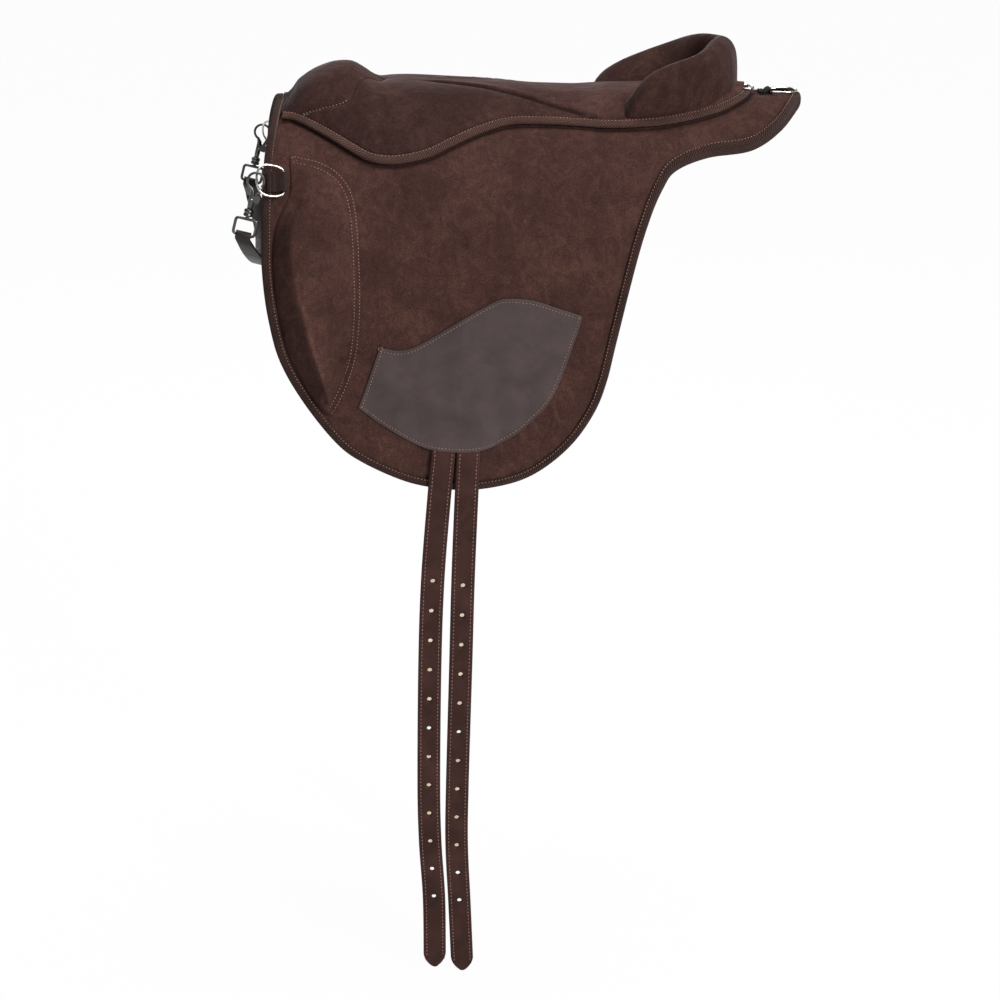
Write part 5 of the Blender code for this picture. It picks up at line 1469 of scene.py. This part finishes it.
def patch_lift(x, s):
    """How far a wear patch stands off the cover over the sewn ends of the billets."""
    half = (BILLET_SPACING + BILLET_WIDTH) / 2
    across = 1 + (half - np.abs(x - BILLET_AFT)) / PATCH_RAMP
    down = 1 + (np.abs(s) - HINGE_S + ROOT_LENGTH) / PATCH_RAMP
    return (ROOT_THICK + GAP) * eased(across) * eased(down)


def worn_off(depth, rounding, stitch_inset, groove):
    """How far a leather piece is below its full thickness: rounded at its edge, grooved under its stitches."""
    drop, width = rounding
    return drop * (1 - np.clip(depth / width, 0, 1)) ** 2 + hill(depth - stitch_inset, *groove)


class PAD_OT_wear_patches(PadOperator, bpy.types.Operator):
    """Makes the smooth leather patch of each flap"""
    bl_idname = "pad.wear_patches"
    bl_label = "Wear patches"

    def execute(self, context):
        lines = []
        for side, name in SIDES:
            outline = mirrored(smooth(PATCH_EDGE, closed=True), side)
            places, triangles = net(outline, PATCH_NET, PATCH_ROWS)
            edge = resample(outline, closed=True)
            lift = DECK + patch_lift(places[:, 0], places[:, 1])
            worn = worn_off(depth_in(places, edge), PATCH_ROUND, PATCH_STITCH_INSET, PATCH_GROOVE)
            top = lift + PATCH_THICK - worn
            made = quilt(f"patch_{name}", places, triangles, top, lift + 0.0001, materials["plated_leather"])
            place(made, "pad", "grey_brown_leather", f"wear_patch_{name}")
            flat = edge + normals_in(edge) * PATCH_STITCH_INSET
            lines.append(sewn_line(flat, DECK + patch_lift(flat[:, 0], flat[:, 1]) + PATCH_THICK, True))
        place(stitches("patch_stitches", lines), "pad", "grey_brown_leather")
        return {"FINISHED"}


def billet_point(row, side, across, down, lift):
    """World places on a billet: across its width, down its length, and lift off its middle layer."""
    shares = BILLET_LINES["left" if side < 0 else "right", ("front", "rear")[row]]
    line = [(share * BILLET_LENGTHS[row], aft) for share, aft in shares]
    x = BILLET_AFT + (row - 0.5) * BILLET_SPACING + across + along(line, np.maximum(down, 0))
    # Under the patch it is thin and lies on the cover, and below the patch it lies on the binding
    share = eased((down + 0.012) / 0.016)
    low, high = DECK + ROOT_THICK / 2, BINDING_TOP + GAP + BILLET_THICK / 2
    thick = (ROOT_THICK + (BILLET_THICK - ROOT_THICK) * share) / BILLET_THICK
    flat = lay(x, side * np.full(len(x), HINGE_S), low + (high - low) * share + lift * thick)
    flat[:, 2] -= down
    return flat


class PAD_OT_billets(PadOperator, bpy.types.Operator):
    """Makes the four punched girth billets, each with its sewn end under the patch"""
    bl_idname = "pad.billets"
    bl_label = "Billets"

    def execute(self, context):
        straps = context.scene.pad_straps
        half, hole_radius = BILLET_WIDTH / 2, straps.hole_diameter / 2
        angles = np.arange(HOLE_SIDES) * math.tau / HOLE_SIDES
        ring = np.stack([np.cos(angles), np.sin(angles)], axis=1) * hole_radius
        for row, row_name in enumerate(("front", "rear")):
            length = BILLET_LENGTHS[row]
            tip = [(half * across, length - BILLET_POINT * up) for across, up in BILLET_TIP]
            outline = [(half, HINGE_LIP - ROOT_LENGTH), *tip]
            outline = np.array([(-across, down) for across, down in outline] + outline[::-1])
            first = length - HOLE_END_MARGIN - (straps.holes - 1) * HOLE_PITCH
            holes = [ring + [0, first + k * HOLE_PITCH] for k in range(straps.holes)]
            places, triangles = net(outline, BILLET_NET, BILLET_ROWS, holes)
            depth = depth_in(places, resample(outline, closed=True))
            for hole in holes:
                near = np.linalg.norm(places - hole.mean(0), axis=1) - hole_radius
                depth = np.where(near < 0.004, np.minimum(depth, np.maximum(near, 0) + 0.0002), depth)
            skin = BILLET_THICK / 2 - worn_off(depth, BILLET_ROUND, straps.stitch_inset, BILLET_GROOVE)
            sewn = np.arange(-0.004, length - BILLET_POINT * 0.9, 0.004)
            for side, side_name in SIDES:
                hang = partial(billet_point, row, side)
                name = f"{side_name}_{row_name}"
                strap = quilt(f"strap_{name}", places, triangles, skin, -skin, materials["bridle_leather"], hang)
                strap.data.materials.append(materials["flesh_side_leather"])
                for polygon in strap.data.polygons[len(triangles):2 * len(triangles)]:
                    polygon.material_index = 1
                lines = [(hang(np.full(len(sewn), across), sewn, face * BILLET_THICK / 2), False)
                         for across in (straps.stitch_inset - half, half - straps.stitch_inset) for face in (-1, 1)]
                thread = stitches(f"strap_stitches_{name}", lines, straps.stitch_pitch, straps.stitch_length)
                start = hang(np.zeros(1), np.array([-HINGE_LIP]), 0.0)[0]
                for piece in (strap, thread):
                    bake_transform(piece)
                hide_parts(f"billet_{name}", f"billet_root_{name}")
        return {"FINISHED"}


def flap_frame(side):
    """A frame at a front ring's bar: x along the horse, y along the slope, z out of the pad."""
    x, y, z = FRONT_BAR
    return Matrix.Translation((x, side * y, z)) @ Matrix.Rotation(-side * FRONT_SLOPE, 4, "X")


def ring_points(width, reach):
    """A D outline: the bar along y through the origin, and the bow towards -x, widest near its middle."""
    half, centre = width / 2, -RING_MIDDLE * reach
    bar = RING_BAR * half
    behind = -centre / (1 - RING_BAR**RING_SQUARE) ** (1 / RING_SQUARE)
    first = math.asin(RING_BAR ** (RING_SQUARE / 2)) + 0.16
    bow = []
    for angle in np.linspace(first, math.tau - first, 44):
        c, s = (math.copysign(abs(v) ** (2 / RING_SQUARE), v) for v in (math.cos(angle), math.sin(angle)))
        bow.append((centre + (behind if c > 0 else reach + centre) * c, half * s))
    # From the bar's end a short curve leads into the bow
    start, knee, end = np.array((0, bar - RING_CORNER)), np.array((0, bar)), np.array(bow[0])
    turn = [tuple((1 - t) ** 2 * start + 2 * t * (1 - t) * knee + t**2 * end) for t in (0.25, 0.5, 0.75)]
    straight = [(0, y) for y in np.linspace(RING_CORNER - bar, bar - RING_CORNER, 5)]
    return straight + turn + bow + [(x, -y) for x, y in turn[::-1]]


def tab_path(tail):
    """The line of a webbing loop: along the pad, round the ring's bar and back, towards -x."""
    radius = RING_WIRE / 2 + GAP + TAB_THICK / 2
    points = [(x, -radius) for x in np.linspace(-tail, -0.001, 8)]
    points += [(radius * math.sin(a), -radius * math.cos(a)) for a in np.linspace(0, math.pi * 1.22, 16)]
    over = -radius + TAB_THICK + 0.0001
    x, z = points[-1]
    points += [(x + (-tail * 0.45 - x) * t, z + (over - z) * eased(t)) for t in np.linspace(0.15, 1, 6)]
    # The sewn end lies in small folds
    points += [(x, over + FOLD * math.sin(math.pi * (x + tail / 2) / (tail / 4)) ** 2)
               for x in np.linspace(-tail * 0.5, -tail, 17)]
    return points


class PAD_OT_rings(PadOperator, bpy.types.Operator):
    """Makes the plated rings and the webbing loops that hold them"""
    bl_idname = "pad.rings"
    bl_label = "Rings and tabs"

    def execute(self, context):
        nickel, nylon, brown = (materials[name] for name in ("nickel_plate", "nylon_webbing", "brown_webbing"))
        back = Matrix.Rotation(math.pi, 4, "Z")
        tail, cantle = Matrix.Translation(TAIL_BAR), Matrix.Translation(CANTLE_BAR)
        rings = [("tail_ring", tail @ back, TAIL_RING, 0.0), ("cantle_ring", cantle @ back, CANTLE_RING, 0.0)]
        tabs = [("tail_tab", tail, TAIL_LOOP, nylon), ("cantle_tab", cantle @ back, CANTLE_LOOP, nylon)]
        for side, name in SIDES:
            rings.append((f"front_ring_{name}", flap_frame(side), FRONT_RING, RING_LIFT))
            tabs.append((f"ring_tab_{name}", flap_frame(side), FRONT_LOOP, brown))
        for name, matrix, (width, reach), lift in rings:
            points = [(x * math.cos(lift), y, -x * math.sin(lift)) for x, y in ring_points(width, reach)]
            made = wire(f"{name}_wire", points, RING_WIRE / 2 - RING_PLAY, matrix, nickel, closed=True)
            place(made, name, "nickel_plate", name)
        for name, matrix, (width, length), cloth in tabs:
            path = tab_path(length)
            made = ribbon(f"{name}_loop", path, [width] * len(path), [TAB_THICK] * len(path), matrix, cloth)
            place(made, "pad", "webbing", name)
        return {"FINISHED"}


def hook_frame(side):
    """The snap hook's frame: the centre of its loop, with z up along the shank and y across."""
    bow = flap_frame(side) @ Vector((-RING_REACH * math.cos(RING_LIFT), 0, RING_REACH * math.sin(RING_LIFT)))
    return Matrix.Translation(bow) @ Matrix.Rotation(HOOK_LEAN, 4, "Y") @ Matrix.Translation((0, 0, -HOOK_DROP))


def hook_line():
    """A snap hook's wire from its collar up and round its loop, with the share of its thickness at each point."""
    thick, radius = SHANK_DIAMETER / HOOK_WIRE, HOOK_LOOP / 2
    points = [(0, 0, -HOOK_LENGTH + 0.5 * COLLAR_LENGTH), (0, 0, -PIN_DROP - SHANK_DIAMETER),
              (0, 0, -PIN_DROP + SHANK_DIAMETER / 2), (-HOOK_WIRE / 4, 0, -PIN_DROP + 1.2 * SHANK_DIAMETER)]
    shares = [thick * 0.8, thick, thick, thick * 0.85]
    for k in range(34):
        angle = math.radians(250 - 26 * k / 3)
        points.append((radius * math.cos(angle), 0, radius * math.sin(angle)))
        shares.append(1.15 - 0.15 * min(1, k / 3))
    return points, shares


def eye_line():
    """A swivel eye's wire: a rectangle with round corners below the hook."""
    across = (EYE_WIDTH - EYE_WIRE) / 2 - EYE_CORNER
    top, bottom = EYE_TOP - EYE_CORNER, EYE_BAR + EYE_CORNER
    points = []
    for x, z, first in ((across, bottom, 270), (across, top, 0), (-across, top, 90), (-across, bottom, 180)):
        for angle in (math.radians(first + 15 * k) for k in range(7)):
            points.append((x + EYE_CORNER * math.cos(angle), 0, z + EYE_CORNER * math.sin(angle)))
    return points


class PAD_OT_snap_hooks(PadOperator, bpy.types.Operator):
    """Makes the snap hooks with their triggers and swivel eyes"""
    bl_idname = "pad.snap_hooks"
    bl_label = "Snap hooks"

    def execute(self, context):
        dark, nickel = materials["gunmetal_plate"], materials["nickel_plate"]
        wide, low, high = COLLAR_DIAMETER / 2, -HOOK_LENGTH, COLLAR_LENGTH - HOOK_LENGTH
        collar_line = [
            (0.0019, low + 0.0002), (wide * 0.9, low), (wide, low + 0.0009), (wide, low + 0.0022),
            (wide * 0.86, low + 0.0028), (wide * 0.86, low + 0.0036), (wide, low + 0.0042), (wide, high - 0.0012),
            (wide * 0.8, high), (0.0019, high + 0.0006)]
        stem_line = [(0.0013, EYE_TOP - 0.0006), (0.0026, EYE_TOP + 0.0012), (0.0016, EYE_TOP + 0.0022),
                     (0.0015, low + 0.003)]
        for side, name in SIDES:
            matrix = hook_frame(side)
            points, shares = hook_line()
            shank = wire("shank", points, HOOK_WIRE / 2, matrix, dark, radii=shares)
            made = joined(f"snap_{name}", [shank, turned("collar", collar_line, matrix, dark)])
            place(made, f"hook_{name}", "gunmetal", f"hook_body_{name}")
            eye = wire("eye", eye_line(), EYE_WIRE / 2, matrix, dark, closed=True)
            made = joined(f"eye_{name}", [eye, turned("stem", stem_line, matrix, dark, 16)])
            place(made, "handle", "gunmetal", f"swivel_eye_{name}")
            trigger, pin = f"trigger_{name}", f"trigger_pin_{name}"
            place(copied(trigger, dark), trigger, "gunmetal", trigger)
            place(copied(pin, nickel), f"hook_{name}", "gunmetal", pin)
        return {"FINISHED"}


class PAD_OT_handle(PadOperator, bpy.types.Operator):
    """Makes the leather grab handle between the two hooks"""
    bl_idname = "pad.handle"
    bl_label = "Grab handle"

    def execute(self, context):
        eye = hook_frame(1) @ Vector((0, 0, HOOK_DROP))
        low = EYE_BAR - HOOK_DROP
        fall = resample(smooth([(abs(eye.y) * (across - 1), low - down * HANDLE_SAG) for across, down in HANDLE_FALL]))
        run = lengths(fall)
        way = np.gradient(fall, axis=0)
        way /= np.linalg.norm(way, axis=1)[:, None]
        out = np.stack([-way[:, 1], way[:, 0]], axis=1)
        # Half of the strap: its end lies under it, goes round the eye as a single ply, and then widens
        bore = EYE_WIRE / 2 + GAP + HANDLE_PLY / 2
        settle = eased(run / HANDLE_SETTLE)
        clear = run > 0.001
        under = (fall + out * (bore + 0.0012 * np.clip(run / 0.02, 0, 1))[:, None])[clear & (run < HANDLE_LAP)][::-1]
        start = math.atan2(out[0][1], out[0][0])
        turn = [(fall[0][0] + bore * math.cos(start + a), fall[0][1] + bore * math.sin(start + a))
                for a in np.linspace(0, math.pi, 16)]
        half = np.concatenate([under, turn, (fall - out * (bore * (1 - settle))[:, None])[clear]])
        share = np.concatenate([np.zeros(len(under) + len(turn)), settle[clear]])
        path = np.concatenate([half, mirrored(half, 1)[-2::-1] * [-1, 1]])
        share = np.concatenate([share, share[-2::-1]])
        close = EYE_WIDTH - EYE_WIRE - 2 * EYE_CORNER
        made = ribbon("handle_strap", path, close + (HANDLE_WIDTH - close) * share,
                      HANDLE_PLY + (HANDLE_THICK - HANDLE_PLY) * share, Matrix.Identity(4),
                      materials["handle_leather"])
        # Below the eyes it hangs back towards the pad
        hang = low - bore - HANDLE_PLY / 2
        for vertex in made.data.vertices:
            vertex.co.y -= HANDLE_TUCK * max(0.0, hang - vertex.co.z)
        # The strap is drawn in its own xz plane, and its x becomes the world's y
        made.data.transform(Matrix.Translation((eye.x, 0, eye.z)) @ Matrix.Rotation(HOOK_LEAN, 4, "Y")
                            @ Matrix.Rotation(math.pi / 2, 4, "Z"))
        place(made, "handle", "bridle_leather", "grab_handle")
        return {"FINISHED"}


def pale_sky():
    """A world that looks white, also through the holes, but lights the pad only a little."""
    world = bpy.data.worlds.new("studio")
    world.use_nodes = True
    tree = world.node_tree
    tree.nodes.clear()
    path = node(tree, "ShaderNodeLightPath")
    direct = maths(tree, "MAXIMUM", (path, "Is Camera Ray"), (path, "Is Transmission Ray"))
    glow, plain = (node(tree, "ShaderNodeBackground", sockets={"Color": (1, 1, 1, 1), "Strength": strength})
                   for strength in (SKY_GLOW, 1.0))
    pick = node(tree, "ShaderNodeMixShader", sockets={
        "Fac": direct, 1: (glow, "Background"), 2: (plain, "Background")})
    node(tree, "ShaderNodeOutputWorld", sockets={"Surface": (pick, "Shader")})
    return world


class PAD_OT_stage(PadOperator, bpy.types.Operator):
    """Makes the pale floor, the soft lights and the camera"""
    bl_idname = "pad.stage"
    bl_label = "Stage"

    def execute(self, context):
        scene = context.scene
        level = CAD_BOX[0].z - FLOOR_GAP
        corners = [(x * FLOOR_REACH, y * FLOOR_REACH, level) for x, y in ((-1, -1), (1, -1), (1, 1), (-1, 1))]
        floor = new_object("floor", corners, [(0, 1, 2, 3)], materials["matt_white_card"], soft=False)
        if floor.data.polygons[0].normal.z < 0:
            floor.data.flip_normals()
        scene.world = pale_sky()
        for name, spot, wide, watts in LAMPS:
            lamp = bpy.data.lights.new(name, "AREA")
            lamp.shape, lamp.size, lamp.energy = "SQUARE", wide, watts
            holder = linked(name, lamp)
            holder.location = spot
            holder.rotation_euler = (STAGE_MIDDLE - Vector(spot)).to_track_quat("-Z", "Y").to_euler()
        eye = bpy.data.cameras.new("camera")
        eye.lens, eye.sensor_width, eye.clip_end = CAMERA_LENS, 36.0, 100.0
        camera = linked("camera", eye)
        camera.location, camera.rotation_euler = CAMERA_SPOT, CAMERA_TURN
        scene.camera = camera
        scene.view_settings.view_transform = "Standard"
        return {"FINISHED"}


GROUPS = {"pad_sewing": PadSewing, "pad_straps": PadStraps, "pad_colours": PadColours}
OPERATORS = (PAD_OT_finishes, PAD_OT_pad, PAD_OT_bindings, PAD_OT_seat, PAD_OT_cantle, PAD_OT_knee_blocks,
             PAD_OT_wear_patches, PAD_OT_billets, PAD_OT_rings, PAD_OT_snap_hooks, PAD_OT_handle, PAD_OT_stage)


class PAD_PT_panel(bpy.types.Panel):
    """Lists the steps and the settings of the pad"""
    bl_idname = "PAD_PT_panel"
    bl_label = "Bareback pad"
    bl_space_type = "VIEW_3D"
    bl_region_type = "UI"
    bl_category = "Bareback pad"

    def draw(self, context):
        layout = self.layout
        for group in (getattr(context.scene, name) for name in GROUPS):
            box = layout.box()
            for name in group.__annotations__:
                box.prop(group, name)
        for operator in OPERATORS:
            layout.operator(operator.bl_idname)


CLASSES = (*GROUPS.values(), *OPERATORS, PAD_PT_panel)


def register():
    for item in CLASSES:
        bpy.utils.register_class(item)
    for name, group in GROUPS.items():
        setattr(bpy.types.Scene, name, PointerProperty(type=group))


def unregister():
    for name in GROUPS:
        delattr(bpy.types.Scene, name)
    for item in reversed(CLASSES):
        bpy.utils.unregister_class(item)


def main():
    register()
    for operator in OPERATORS:
        group, name = operator.bl_idname.split(".")
        getattr(getattr(bpy.ops, group), name)()


if __name__ == "__main__":
    main()
